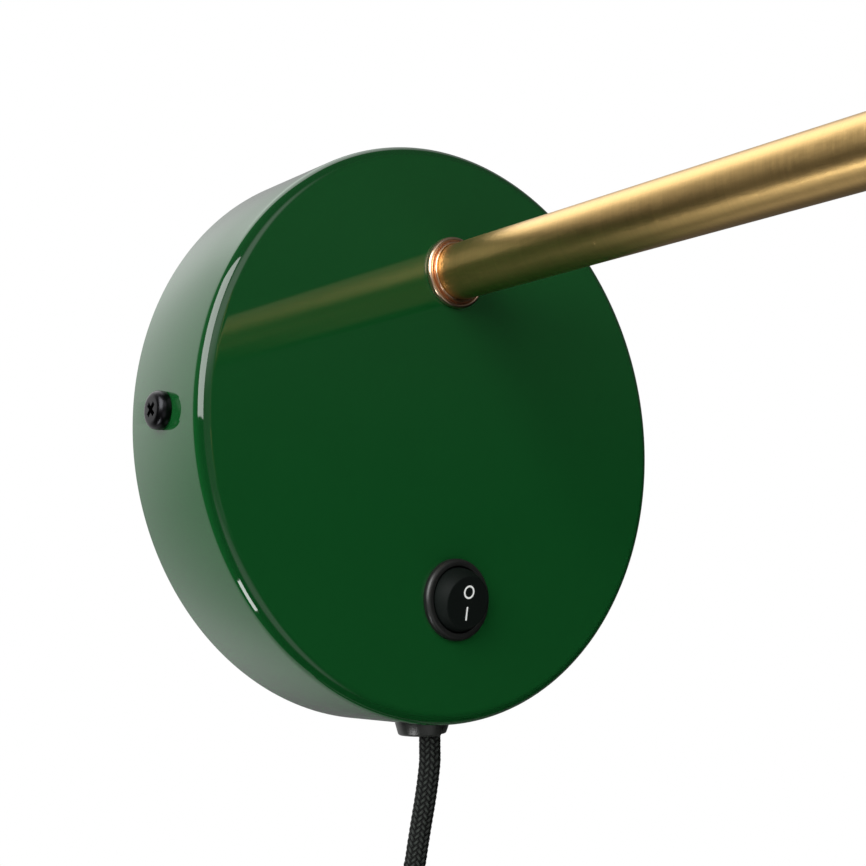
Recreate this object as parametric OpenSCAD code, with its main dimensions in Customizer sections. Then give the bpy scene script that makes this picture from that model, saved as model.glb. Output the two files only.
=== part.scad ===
// Gooseneck wall sconce with a round canopy, a bent brass arm, a dome shade and a rocker switch.
// Millimetres. Origin at the centre of the canopy's back, on the wall. +Z is up and -Y is away from the wall.

/* [Canopy] */
// Diameter of the round wall canopy
canopy_d = 162; // [158:1:172]
// Depth of the canopy, from the wall to its flat front
canopy_depth = 35; // [34:0.5:42]
// Rounding of the canopy's front edge
canopy_edge_r = 3.5; // [2:0.5:5]
// Sheet thickness of the canopy
canopy_wall = 1.2; // [0.8:0.1:1.6]

/* [Arm] */
// Outside diameter of the arm tube
arm_d = 16; // [15:0.5:18]
// Wall of the arm tube
arm_wall = 1.2; // [0.8:0.1:1.5]
// Height of the arm's foot above the canopy's centre
arm_z = 45; // [40:1:50]
// Length of the straight run that leaves the canopy
arm_straight = 150; // [140:5:220]
// Radius of the rising bend
arm_rise_r = 60; // [45:1:90]
// Length of the straight link between the two bends
arm_link = 25; // [15:1:50]
// Radius of the arch that turns the arm down
arm_arch_r = 70; // [55:1:90]
// Length of the straight drop into the head
arm_drop = 14; // [12:1:40]

/* [Collar] */
// Outside diameter of the collar ring at the arm's foot
collar_d = 20.5; // [20.5:0.5:24]
// Height of the collar's outer bead
collar_bead_h = 1.6; // [1.4:0.1:2.4]
// Width of the collar's outer bead
collar_bead_w = 1.3; // [1:0.1:1.4]
// Height of the collar's inner lip
collar_lip_h = 2.4; // [1.8:0.1:4]
// Width of the collar's inner lip
collar_lip_w = 0.6; // [0.4:0.1:0.8]

/* [Threaded foot] */
// Thread diameter of the two nipples
nipple_d = 10; // [9:0.5:10]
// Bore of the two nipples
nipple_bore = 7.4; // [6.5:0.1:7.6]
// Outside diameter of the flat washer
washer_d = 24; // [20:1:28]
// Thickness of the flat washer
washer_t = 1.5; // [1:0.1:2]
// Outside diameter of the split lock washer
lock_washer_d = 17; // [15:0.5:19]
// Thickness of the split lock washer
lock_washer_t = 1.8; // [1.2:0.1:2]
// Width across the corners of the lock nut
nut_corner_d = 16.2; // [14:0.1:18]
// Height of the lock nut
nut_h = 4; // [3:0.5:5]

/* [Rocker switch] */
// Distance of the switch's middle above the canopy's lower edge
switch_up = 34; // [31:1:37]
// Diameter of the hole that takes the switch
switch_hole_d = 20.2; // [20:0.1:21]
// Diameter of the switch's bezel
bezel_d = 22.5; // [22.5:0.5:25]
// Height of the bezel above the canopy
bezel_h = 2; // [1.6:0.1:2.4]
// Depth of the switch's housing behind the canopy's front
switch_depth = 18; // [17:0.5:19]
// Diameter of the ball shape from which the button is cut
button_d = 17.8; // [17:0.1:17.8]
// Height of the button's face above its pivot
button_rise = 5.1; // [4.6:0.1:5.6]
// Tilt of the button to each side of the middle
button_tilt = 10.5; // [8:0.5:11]
// Distance of the button's pivot in front of the canopy
pivot_out = 0.4; // [0.2:0.1:0.6]

/* [Side screws] */
// Thread diameter of the side screws
side_screw_d = 5; // [4:0.5:5]
// Diameter of the side screws' heads
side_head_d = 10; // [9:0.5:11]
// Height of the side screws' heads
side_head_h = 3.2; // [2.6:0.1:3.8]
// Length of the side screws' shanks
side_screw_len = 12; // [10:0.5:16]
// Distance of the side screws from the wall
side_screw_out = 16.3; // [14:0.1:18]

/* [Wall bracket] */
// Width of the bracket's strap
strap_w = 30; // [26:1:34]
// Thickness of the bracket's steel
strap_t = 2; // [1.5:0.1:2.5]
// Length of the bent ears, from the wall
ear_len = 24; // [22:1:28]
// Distance between the two wall screw slots
slot_spacing = 70; // [64:1:80]
// Width of a wall screw slot
slot_w = 5; // [4:0.5:6]
// Length of a wall screw slot
slot_len = 14; // [10:1:18]

/* [Cord grip] */
// Distance of the cord grip from the wall
grip_out = 20.7; // [19:0.1:22]
// Diameter of the hole that takes the cord grip
grip_hole_d = 12.7; // [12.7:0.1:13.5]
// Diameter of the grip's flange at the canopy
grip_flange_d = 15.2; // [15:0.1:17]
// Diameter of the grip's flange at its tip
grip_tip_d = 13.3; // [12.5:0.1:14]
// Height of the grip's flange
grip_flange_h = 3.4; // [3.2:0.1:3.6]
// Length of the grip's neck inside the canopy
grip_neck = 8; // [6:0.5:9]

/* [Mains cord] */
// Diameter of the textile cord
cord_d = 6; // [5.8:0.1:6.1]
// Radius of the coil's outer turn
coil_r = 50.4; // [50:0.2:51]
// Whole turns in the coil
coil_turns = 8; // [7:1:8]
// Clear space between neighbouring turns and between the two layers
coil_gap = 0.6; // [0.5:0.05:0.7]
// Width of the strap that ties the coil
tie_w = 10; // [6:1:12]
// Thickness of the strap that ties the coil
tie_t = 1.2; // [0.8:0.1:1.2]

/* [Plug] */
// Width of the flat plug
plug_w = 35.3; // [33:0.1:38]
// Thickness of the flat plug
plug_t = 13.7; // [13:0.1:14]
// Length of the plug's body
plug_h = 34; // [30:1:40]
// Length of the plug's tapered cord sleeve
sleeve_h = 20; // [20:1:30]
// Diameter of the plug's pins
pin_d = 4; // [3.8:0.1:4.8]
// Length of the plug's pins
pin_len = 19; // [17:1:20]
// Distance between the plug's pins
pin_spacing = 18.6; // [17.5:0.1:19]

/* [Shade] */
// Diameter of the ball shape of the dome shade
shade_d = 182; // [170:2:200]
// Height of the shade
shade_h = 78; // [74:1:84]
// Sheet thickness of the shade
shade_wall = 1; // [0.8:0.1:1.4]
// Radius of the flat top of the shade
shade_top_r = 27; // [26.5:0.5:32]
// Radius of the rolled bead on the shade's rim
bead_r = 1.6; // [1.2:0.1:2.2]

/* [Lampholder] */
// Diameter of the holder's threaded skirt
skirt_d = 39.5; // [39:0.5:40]
// Wall of the holder's skirt
skirt_wall = 1.6; // [1.2:0.1:1.8]
// Height of the neck cap that covers the holder
neck_h = 38; // [38:0.5:42]
// Outside diameter of the neck cap
neck_d = 45; // [45:0.5:48]
// Wall of the neck cap
neck_wall = 1; // [0.8:0.1:1]
// Outside diameter of the shade ring
shade_ring_d = 52; // [48:1:53]
// Height of the shade ring
shade_ring_h = 8; // [6:0.5:10]
// Inside diameter of the screw shell
shell_d = 26.8; // [26.6:0.1:27.2]

/* [Bulb] */
// Diameter of the bulb's glass
bulb_d = 45; // [45:1:50]
// Diameter of the bulb's screw cap
bulb_cap_d = 25.8; // [25.2:0.1:26]
// Length of the bulb's screw cap
bulb_cap_h = 21; // [20:0.5:22]

/* [Hidden] */
$fn = 48;

// Overrun of every cut, and the clearances that the fits share
cut = 1;
fit = 0.05;
hole_gap = 0.15;
seat_gap = 0.1;
run_gap = 0.06;

// Radii that several pieces share
canopy_r = canopy_d / 2;
arm_r = arm_d / 2;
arm_bore_r = arm_r - arm_wall;
nipple_r = nipple_d / 2;
cord_r = cord_d / 2;
coil_pitch = cord_d + coil_gap;
switch_drop = canopy_r - switch_up;

// The arm rises four parts for each three that it runs out
rise_share = 4 / 5;
run_share = 3 / 5;
arm_rise_angle = atan2(rise_share, run_share);

// Places along the arm: distance from the wall and height
rise_u = canopy_depth + arm_straight;
link_u = rise_u + arm_rise_r * rise_share;
link_w = arm_z + arm_rise_r * (1 - run_share);
arch_u = link_u + arm_link * run_share + arm_arch_r * rise_share;
arch_w = link_w + arm_link * rise_share - arm_arch_r * run_share;
head_u = arch_u + arm_arch_r;
head_w = arch_w - arm_drop;

// Solids that several pieces share

// A disc of radius r and height h with a bore, standing on z = 0
module ring(r, bore, h) {
  difference() {
    cylinder(h = h, r = r);
    translate([0, 0, -cut]) cylinder(h = h + 2 * cut, r = bore);
  }
}

// Half the outline of a dish of radius r and height h, rounded at its top edge
module dish_half(r, h, edge) intersection() {
  union() {
    square([r, h - edge]);
    square([r - edge, h]);
    translate([r - edge, h - edge]) circle(r = edge);
  }
  square([r, h]);
}

// A hollow dish, open below, with its top at z = h
module dish(r, h, edge, wall) {
  rotate_extrude() difference() {
    dish_half(r, h, edge);
    translate([0, -cut]) dish_half(r - wall, h - wall + cut, edge - wall);
  }
}

// The right half of a disc
module half_disc(r) {
  intersection() {
    circle(r = r);
    translate([0, -r]) square([r, 2 * r]);
  }
}

// A rectangle with round corners about the origin
module round_rect(w, h, r) {
  square([w - 2 * r, h], center = true);
  square([w, h - 2 * r], center = true);
  for (i = [-1, 1]) for (j = [-1, 1]) {
    translate([i * (w / 2 - r), j * (h / 2 - r)]) circle(r = r);
  }
}

// Moves a piece to the canopy's front: its z points away from the wall
module on_front(z) {
  translate([0, -canopy_depth, z]) rotate([90, 0, 0]) children();
}

// Moves a piece to the end of the arm: its z stays up
module at_head(z = 0) {
  translate([0, -head_u, head_w + z]) children();
}

// Curves for wires and cords
function unit(v) = v / norm(v);
function curve_point(a, b, c, d, t) =
  (2 * b + (c - a) * t + (2 * a - 5 * b + 4 * c - d) * t * t + (3 * b - a - 3 * c + d) * t * t * t) / 2;
function smooth_route(p, steps) = let (n = len(p) - 1) [
  for (i = [0:n - 1]) for (k = [0:steps - 1])
    curve_point(
      i == 0 ? 2 * p[0] - p[1] : p[i - 1], p[i], p[i + 1],
      i == n - 1 ? 2 * p[n] - p[n - 1] : p[i + 2], k / steps
    ),
  p[n]
];
function lead_point(a, b, c, d, t) =
  a * pow(1 - t, 3) + 3 * b * t * pow(1 - t, 2) + 3 * c * t * t * (1 - t) + d * pow(t, 3);

// Rings of a tube along a path: each ring stands square to the path
function tube_rings(path, r, sides, first, last, side) = let (n = len(path) - 1) [
  for (i = [0:n])
    let (
      t = i == 0 ? first : i == n ? last : unit(path[i + 1] - path[i - 1]),
      u = unit(cross(t, side)),
      v = cross(u, t)
    )
    for (k = [0:sides - 1]) path[i] + r * (cos(360 * k / sides) * u + sin(360 * k / sides) * v)
];

// A tube along a path with flat ends
module tube(path, r, sides, first, last, side) {
  n = len(path) - 1;
  polyhedron(
    points = tube_rings(path, r, sides, first, last, side),
    faces = concat(
      [for (k = [1:sides - 2]) [0, k + 1, k]],
      [for (k = [1:sides - 2]) [n * sides, n * sides + k, n * sides + k + 1]],
      [for (i = [0:n - 1]) for (k = [0:sides - 1])
        let (a = i * sides + k, b = i * sides + (k + 1) % sides) [a, b, b + sides]],
      [for (i = [0:n - 1]) for (k = [0:sides - 1])
        let (a = i * sides + k, b = i * sides + (k + 1) % sides) [a, b + sides, a + sides]]
    )
  );
}

// A wire that leaves a along the first direction and enters b against the last; face is what its first
// ring stands square to, where that isn't the first direction
wire_steps = 10;
wire_sides = 6;
module wire(a, first, b, last, r, side, reach_share = 0.45, face = undef) {
  reach = norm(b - a) * reach_share;
  path = [
    for (i = [0:wire_steps])
      lead_point(a, a + first * reach, b - last * reach, b, i / wire_steps)
  ];
  tube(path, r, wire_sides, is_undef(face) ? first : face, last, side);
}

// Canopy
side_hole_r = side_screw_d / 2 + hole_gap;
module canopy() color("darkgreen") difference() {
  rotate([90, 0, 0]) dish(canopy_r, canopy_depth, canopy_edge_r, canopy_wall);
  on_front(arm_z) translate([0, 0, -canopy_wall - cut])
    cylinder(h = canopy_wall + 2 * cut, r = nipple_r + hole_gap);
  on_front(-switch_drop) translate([0, 0, -canopy_wall - cut])
    cylinder(h = canopy_wall + 2 * cut, r = switch_hole_d / 2);
  for (side = [-1, 1]) {
    translate([side * (canopy_r - 2 * canopy_wall), -side_screw_out, 0])
      rotate([0, side * 90, 0]) cylinder(h = 4 * canopy_wall, r = side_hole_r);
  }
  translate([0, -grip_out, -canopy_r - 2 * canopy_wall]) cylinder(h = 4 * canopy_wall, r = grip_hole_d / 2);
}

// Wall bracket: a strap with two ears bent forward, each with a threaded boss
ear_gap = 1.5;
bend_r = 2;
boss_r = 4.5;
boss_h = 2;
ear_x = canopy_r - canopy_wall - ear_gap;
module bracket_outline() {
  for (side = [0, 1]) mirror([side, 0]) difference() {
    translate([0, -ear_len]) dish_half(ear_x, ear_len, bend_r + strap_t);
    translate([0, -ear_len - cut]) dish_half(ear_x - strap_t, ear_len - strap_t + cut, bend_r);
  }
}
module mounting_bracket() color("silver") difference() {
  union() {
    translate([0, 0, -strap_w / 2]) linear_extrude(strap_w) bracket_outline();
    for (side = [-1, 1]) {
      translate([side * (ear_x - strap_t - boss_h), -side_screw_out, 0])
        rotate([0, side * 90, 0]) cylinder(h = boss_h + strap_t / 2, r = boss_r);
    }
  }
  for (side = [-1, 1]) {
    translate([side * (ear_x - strap_t - boss_h - cut), -side_screw_out, 0])
      rotate([0, side * 90, 0]) cylinder(h = boss_h + strap_t + 2 * cut, r = side_screw_d / 2 + fit);
    translate([side * slot_spacing / 2, cut, 0]) rotate([90, 0, 0]) wall_slot();
  }
  translate([block_x, cut, 0]) rotate([90, 0, 0]) cylinder(h = strap_t + 2 * cut, r = block_screw_r + fit);
}
module wall_slot() {
  run = slot_len - slot_w;
  translate([-run / 2, -slot_w / 2, 0]) cube([run, slot_w, strap_t + 2 * cut]);
  for (end = [-1, 1]) translate([end * run / 2, 0, 0]) cylinder(h = strap_t + 2 * cut, r = slot_w / 2);
}

// Side screws: pan heads with a cross recess
recess_w_share = 0.14;
recess_len_share = 0.58;
recess_depth_share = 0.6;
side_head_edge_share = 0.6;
module side_screws() color("black") {
  for (side = [-1, 1]) translate([side * (canopy_r + seat_gap), -side_screw_out, 0])
    rotate([0, side * 90, 0]) pan_screw();
}
module pan_screw() {
  recess_w = side_head_d * recess_w_share;
  recess_len = side_head_d * recess_len_share;
  recess_depth = side_head_h * recess_depth_share;
  difference() {
    rotate_extrude() dish_half(side_head_d / 2, side_head_h, side_head_h * side_head_edge_share);
    for (turn = [0, 90]) rotate([0, 0, turn + 45])
      translate([-recess_len / 2, -recess_w / 2, side_head_h - recess_depth])
        cube([recess_len, recess_w, recess_depth + cut]);
  }
  translate([0, 0, -side_screw_len]) cylinder(h = side_screw_len, r = side_screw_d / 2);
}

// Collar ring: a thin floor, a round outer bead, a groove and a lip that hugs the arm
collar_floor_h = 0.7;
collar_bore_r = arm_r + fit;
module collar_ring() color("chocolate") on_front(arm_z) rotate_extrude() {
  translate([collar_bore_r, 0]) square([collar_d / 2 - collar_bore_r - collar_bead_w / 2, collar_floor_h]);
  translate([collar_d / 2 - collar_bead_w, 0]) square([collar_bead_w, collar_bead_h - collar_bead_w / 2]);
  translate([(collar_d - collar_bead_w) / 2, collar_bead_h - collar_bead_w / 2])
    circle(r = collar_bead_w / 2);
  translate([collar_bore_r, 0]) square([collar_lip_w, collar_lip_h - collar_lip_w / 2]);
  translate([collar_bore_r + collar_lip_w / 2, collar_lip_h - collar_lip_w / 2]) circle(r = collar_lip_w / 2);
}

// A bar or tube that follows the arm from the canopy, over the arch and down to the head
module arm_section(r, bore) difference() {
  circle(r = r);
  if (bore > 0) circle(r = bore);
}
module along_arm(r, bore, before, after) rotate([90, 0, -90]) {
  translate([canopy_depth - before, arm_z, 0]) rotate([0, 90, 0])
    linear_extrude(arm_straight + before) arm_section(r, bore);
  translate([rise_u, arm_z + arm_rise_r, 0]) intersection() {
    rotate([0, 0, -90]) rotate_extrude(angle = 90) translate([arm_rise_r, 0]) arm_section(r, bore);
    bend_side(-1, arm_rise_r + arm_d);
  }
  translate([link_u, link_w, 0]) rotate([0, 0, arm_rise_angle]) rotate([0, 90, 0])
    linear_extrude(arm_link) arm_section(r, bore);
  translate([arch_u, arch_w, 0]) intersection() {
    rotate_extrude(angle = 180) translate([arm_arch_r, 0]) arm_section(r, bore);
    bend_side(1, arm_arch_r + arm_d);
  }
  translate([head_u, arch_w, 0]) rotate([90, 0, 0]) linear_extrude(arm_drop + after) arm_section(r, bore);
}

// The side of a bend's centre on which the bend lies, cut square to the link between the bends
module bend_side(side, reach) rotate([0, 0, arm_rise_angle])
  translate([side > 0 ? 0 : -reach, -reach, -arm_d]) cube([reach, 2 * reach, 2 * arm_d]);
module arm_tube() color("goldenrod") along_arm(arm_r, arm_bore_r, 0, 0);

// Threaded foot of the arm: a bush in the tube, a nipple, a washer, a split lock washer and a nut
bush_h = 10;
nipple_in = 14;
nipple_chamfer = 0.6;
module bush() ring(arm_bore_r - fit, nipple_r + fit, bush_h);
module nipple(len) difference() {
  rotate_extrude() polygon([
    [nipple_bore / 2, 0], [nipple_r - nipple_chamfer, 0], [nipple_r, nipple_chamfer],
    [nipple_r, len - nipple_chamfer], [nipple_r - nipple_chamfer, len], [nipple_bore / 2, len]
  ]);
}
lock_washer_z = -canopy_wall - washer_t - lock_washer_t;
nut_z = lock_washer_z - nut_h;
split_w = 1.2;
module arm_bush() color("darkgoldenrod") on_front(arm_z) bush();
module arm_nipple() color("silver") on_front(arm_z) translate([0, 0, -nipple_in]) nipple(nipple_in + bush_h);
module arm_washer() color("silver") on_front(arm_z)
  translate([0, 0, -canopy_wall - washer_t]) ring(washer_d / 2, nipple_r + hole_gap, washer_t);
module lock_washer() color("gray") on_front(arm_z) translate([0, 0, lock_washer_z]) difference() {
  ring(lock_washer_d / 2, nipple_r + hole_gap, lock_washer_t);
  translate([0, -split_w / 2, -cut]) cube([lock_washer_d, split_w, lock_washer_t + 2 * cut]);
}
module hex_nut() difference() {
  intersection() {
    cylinder(h = nut_h, r = nut_corner_d / 2, $fn = 6);
    rotate_extrude() nut_half();
  }
  translate([0, 0, -cut]) cylinder(h = nut_h + 2 * cut, r = nipple_r + fit);
}
module nut_half() {
  bevel = nut_corner_d * (1 - cos(30)) / 2;
  polygon([
    [0, 0], [nut_corner_d / 2 - bevel, 0], [nut_corner_d / 2, bevel / 2],
    [nut_corner_d / 2, nut_h - bevel / 2], [nut_corner_d / 2 - bevel, nut_h], [0, nut_h]
  ]);
}
module arm_nut() color("silver") on_front(arm_z) translate([0, 0, nut_z]) hex_nut();

// Rocker switch, in its own frame: z = 0 at the canopy's front, y up
module at_switch() on_front(-switch_drop) children();
ball_r = button_d / 2;
mouth_gap = 0.25;
mouth_r = ball_r + mouth_gap;
housing_r = switch_hole_d / 2 - hole_gap;
bezel_round = 1.1;
cavity_floor = -11;
pivot_r = 1;
pivot_len = 0.75;
latch_out = 0.7;
latch_len = 4;
latch_w = 6;
tab_w = 4.8;
tab_t = 0.8;
tab_out = 7;
contact_y = 6.5;
tip_r = 1.6;
tip_drop = 6.6;
tip_gap = 0.3;
lever_t = 0.6;
lever_w = 4;
lever_short = 5;
lever_tilt = 6;
lever_top = pivot_out - tip_drop - tip_r - tip_gap;
lever_z = lever_top - lever_t / 2;
rivet_r = 1.3;
rivet_h = 0.4;
rivet_z = lever_z - contact_y * sin(lever_tilt) - lever_t / 2 - rivet_h;
post_gap = 0.12;
module switch_housing() color("black") at_switch() difference() {
  union() {
    rotate_extrude() dish_half(bezel_d / 2, bezel_h, bezel_round);
    translate([0, 0, -switch_depth]) cylinder(h = switch_depth + bezel_h / 2, r = housing_r);
    for (side = [0, 1]) mirror([side, 0, 0]) latch();
  }
  translate([0, 0, cavity_floor]) cylinder(h = bezel_h - cavity_floor + cut, r = mouth_r);
  translate([-mouth_r - pivot_len, 0, pivot_out]) rotate([0, 90, 0])
    cylinder(h = 2 * (mouth_r + pivot_len), r = pivot_r + run_gap);
  for (y = [0, contact_y]) {
    translate([-tab_w / 2 - fit, y - tab_t / 2 - fit, -switch_depth - cut])
      cube([tab_w + 2 * fit, tab_t + 2 * fit, switch_depth + cavity_floor + 2 * cut]);
  }
}
module latch() {
  translate([0, latch_w / 2, 0]) rotate([90, 0, 0]) linear_extrude(latch_w) polygon([
    [mouth_r, -canopy_wall - hole_gap], [housing_r + latch_out, -canopy_wall - hole_gap],
    [housing_r, -canopy_wall - hole_gap - latch_len], [mouth_r, -canopy_wall - hole_gap - latch_len]
  ]);
}

// The button: a slice of a ball, hollow below, with a tube for the plunger and two stub pins
button_wall = 1.2;
button_skirt = 3;
guide_r = 2.6;
guide_bore_r = 1.7;
guide_drop = 5.4;
spring_top = 3;
module button_slice(r, low, high) intersection() {
  sphere(r = r);
  translate([0, 0, low]) cylinder(h = high - low, r = r + cut);
}
module tilted() at_switch() translate([0, 0, pivot_out]) rotate([button_tilt, 0, 0]) children();
module rocker_button() color("black") tilted() difference() {
  union() {
    difference() {
      button_slice(ball_r, -button_skirt, button_rise);
      button_slice(ball_r - button_wall, -button_skirt - cut, button_rise - button_wall);
    }
    translate([0, 0, -guide_drop]) cylinder(h = guide_drop + button_rise - button_wall / 2, r = guide_r);
    for (side = [0, 1]) mirror([side, 0, 0]) translate([ball_r - button_wall - run_gap, 0, 0])
      rotate([0, 90, 0]) cylinder(h = pivot_len + mouth_gap + button_wall, r = pivot_r);
  }
  translate([0, 0, -guide_drop - cut]) cylinder(h = guide_drop + cut + spring_top, r = guide_bore_r);
}
plunger_len = 3.4;
plunger_foot = tip_drop - plunger_len;
module switch_plunger() color("ivory") tilted() translate([0, 0, -tip_drop]) {
  sphere(r = tip_r);
  cylinder(h = plunger_len, r = tip_r);
}

// The spring in the button: one tube wound by a formula
spring_wire_r = 0.2;
spring_r = guide_bore_r - spring_wire_r - fit;
spring_curls = 6;
spring_sides = 6;
spring_steps = 8;
spring_len = spring_top + plunger_foot - 2 * spring_wire_r - 2 * fit;
function spring_point(t) = [
  spring_r * cos(360 * t), spring_r * sin(360 * t),
  -plunger_foot + spring_wire_r + fit + spring_len * t / spring_curls
];
spring_path = [for (i = [0:spring_curls * spring_steps]) spring_point(i / spring_steps)];
module switch_spring() color("silver") tilted() tube(
  spring_path, spring_wire_r, spring_sides,
  unit(spring_path[1] - spring_path[0]),
  unit(spring_path[len(spring_path) - 1] - spring_path[len(spring_path) - 2]), [0, 0, 1]
);

// The contact lever rocks on the middle terminal and meets the other one at the button's open end
module contact_lever() color("orange") at_switch() translate([0, 0, lever_z]) rotate([-lever_tilt, 0, 0]) {
  translate([-lever_w / 2, -lever_short, -lever_t / 2])
    cube([lever_w, lever_short + contact_y + rivet_r, lever_t]);
  translate([0, contact_y, -lever_t / 2 - rivet_h]) cylinder(h = rivet_h + lever_t / 2, r = rivet_r);
}
module switch_terminals() color("tan") at_switch() {
  terminal_tab(0, lever_z - lever_t / 2 - post_gap);
  terminal_tab(contact_y, rivet_z - post_gap);
}
tab_hole_share = 0.6;
module terminal_tab(y, top) difference() {
  translate([-tab_w / 2, y - tab_t / 2, -switch_depth - tab_out])
    cube([tab_w, tab_t, switch_depth + tab_out + top]);
  translate([0, y + tab_t, -switch_depth - tab_out * tab_hole_share])
    rotate([90, 0, 0]) cylinder(h = 2 * tab_t, r = tab_t);
}

// Cord grip: a snap-in bush in two halves, parted along the cord
grip_cord_x = 1.2;
grip_cord_out = 1.9;
grip_kerf = 0.3;
grip_round = 0.5;
grip_neck_r = grip_hole_d / 2 - hole_gap;
grip_barb = 0.5;
grip_angle = atan2(-grip_cord_out, grip_cord_x);
module grip_solid() translate([0, -grip_out, 0]) difference() {
  union() {
    difference() {
      translate([0, 0, -canopy_r - grip_flange_h])
        cylinder(h = grip_flange_h, r1 = grip_tip_d / 2, r2 = grip_flange_d / 2);
      translate([0, grip_out + cut, 0]) rotate([90, 0, 0])
        cylinder(h = canopy_depth + cut, r = canopy_r + fit);
    }
    translate([0, 0, -canopy_r - grip_flange_h / 2])
      cylinder(h = grip_flange_h / 2 + grip_neck, r = grip_neck_r);
    translate([0, 0, -canopy_r + canopy_wall + 2 * hole_gap])
      cylinder(h = grip_neck / 2, r1 = grip_neck_r + grip_barb, r2 = grip_neck_r);
  }
  translate([grip_cord_x, -grip_cord_out, -canopy_r - grip_flange_h - cut])
    cylinder(h = grip_flange_h + grip_neck + 2 * cut, r = cord_r + fit);
}
module grip_side(side) translate([grip_cord_x, -grip_out - grip_cord_out, -canopy_r])
  rotate([0, 0, grip_angle])
    translate([side > 0 ? grip_kerf / 2 : -grip_flange_d - grip_kerf / 2, -grip_flange_d, -grip_neck])
      cube([grip_flange_d, 2 * grip_flange_d, 3 * grip_neck]);
module grip_body() color("black") intersection() {
  grip_solid();
  grip_side(-1);
}
module grip_wedge() color("black") intersection() {
  grip_solid();
  grip_side(1);
}

// Terminal block: two wire ways with brass barrels and clamp screws, beside the middle of the strap
block_x = 14;
block_w = 22;
block_h = 17;
block_t = 14;
pole_gap = 10;
barrel_r = 2.6;
barrel_bore_r = 1.6;
barrel_h = 14;
barrel_out = 7;
well_r = 1.9;
well_gap = 8;
clamp_r = 1.45;
clamp_len = 4.2;
slot_share = 0.3;
block_screw_r = 1.5;
block_head_r = 2.7;
block_head_h = 2;
block_screw_share = 0.9;
barrel_y = -strap_t - barrel_out;
module at_pole(side, y, z) translate([block_x + side * pole_gap / 2, y, z]) children();
module terminal_block() color("ivory") difference() {
  translate([block_x - block_w / 2, -strap_t - block_t, -block_h / 2]) cube([block_w, block_t, block_h]);
  for (side = [-1, 1]) {
    at_pole(side, barrel_y, -block_h / 2 - cut) cylinder(h = block_h + 2 * cut, r = barrel_r + fit);
    for (row = [-1, 1])
      at_pole(side, barrel_y, row * well_gap / 2) rotate([90, 0, 0]) cylinder(h = block_t, r = well_r);
  }
  translate([block_x, 0, 0]) rotate([90, 0, 0])
    cylinder(h = block_t + strap_t + cut, r = block_screw_r + hole_gap);
  translate([block_x, -strap_t - block_t + block_head_h, 0]) rotate([90, 0, 0])
    cylinder(h = block_head_h + cut, r = block_head_r + hole_gap / 2);
}
module terminal_barrels() color("gold") for (side = [-1, 1]) difference() {
  at_pole(side, barrel_y, -barrel_h / 2) ring(barrel_r, barrel_bore_r, barrel_h);
  for (row = [-1, 1])
    at_pole(side, barrel_y, row * well_gap / 2) rotate([90, 0, 0])
      cylinder(h = barrel_r + cut, r = clamp_r + fit);
}
module terminal_screws() color("silver") for (side = [-1, 1]) for (row = [-1, 1])
  at_pole(side, barrel_y - barrel_bore_r, row * well_gap / 2) rotate([90, 0, 0])
    slotted_rod(clamp_r, clamp_len);
module slotted_rod(r, len) difference() {
  cylinder(h = len, r = r);
  translate([-r - cut, -r * slot_share / 2, len - r * slot_share * 2])
    cube([2 * r + 2 * cut, r * slot_share, r + cut]);
}
module block_screw() color("silver") translate([block_x, -strap_t - block_t + block_head_h, 0]) {
  rotate([90, 0, 0]) slotted_rod(block_head_r, block_head_h);
  rotate([-90, 0, 0]) cylinder(h = block_t + strap_t * block_screw_share - block_head_h, r = block_screw_r);
}

// Wiring inside the canopy
core_r = 1.1;
sheath_r = 3;
inner_end_h = 15;
core_offset = 1.4;
flag_w = 6;
flag_h = 3;
flag_len = 5.4;
flag_gap = 0.4;
cable_end = 4;
cable_inside = nipple_in + cable_end;
core_in = 2;
cord_x = grip_cord_x;
cord_y = -grip_out - grip_cord_out;
strip_z = -canopy_r + inner_end_h;
tab_y = -canopy_depth + switch_depth + flag_gap + flag_len / 2;
supply_tab = [0, tab_y, -switch_drop - flag_h / 2];
switched_tab = [0, tab_y, -switch_drop + contact_y + flag_h / 2];
up = [0, 0, 1];
down = [0, 0, -1];
back = [0, 1, 0];
core_end_z = block_h / 2 - core_in;
module flag(y) at_switch() difference() {
  translate([-flag_w / 2, y - flag_h / 2, -switch_depth - flag_gap - flag_len])
    cube([flag_w, flag_h, flag_len]);
  translate([-tab_w / 2 - fit, y - tab_t / 2 - fit, -switch_depth - tab_out - cut])
    cube([tab_w + 2 * fit, tab_t + 2 * fit, tab_out + 2 * cut]);
}
module cord_inner_end() color("black") translate([cord_x, cord_y, -canopy_r - grip_flange_h + fit])
  cylinder(h = grip_flange_h + inner_end_h - fit, r = sheath_r);
module supply_cores() {
  color("saddlebrown") wire(
    [cord_x - core_offset, cord_y, strip_z], unit([0, 0.8, 0.6]), supply_tab, up, core_r, [1, 0, 0],
    face = up
  );
  color("saddlebrown") flag(0);
  color("royalblue") wire(
    [cord_x + core_offset, cord_y, strip_z], unit([0.5, 0.75, 0.43]),
    [block_x + pole_gap / 2, barrel_y, -core_end_z], up, core_r, [-1, 1, 0], 0.38, up
  );
}
module switched_core() color("saddlebrown") {
  wire(switched_tab, up, [block_x - pole_gap / 2, barrel_y, -core_end_z], up, core_r, [0, 1, 0]);
  flag(contact_y);
}
module lamp_cores() {
  for (side = [-1, 1]) color(side < 0 ? "saddlebrown" : "royalblue") wire(
    [side * core_offset, -canopy_depth + cable_inside, arm_z], back,
    [block_x + side * pole_gap / 2, barrel_y, core_end_z], down, core_r, [1, 0, 0], 0.4
  );
}
cable_r = 3;
cable_after = 14;
module lamp_cable() color("white") along_arm(cable_r, 0, cable_inside, cable_after);

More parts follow.
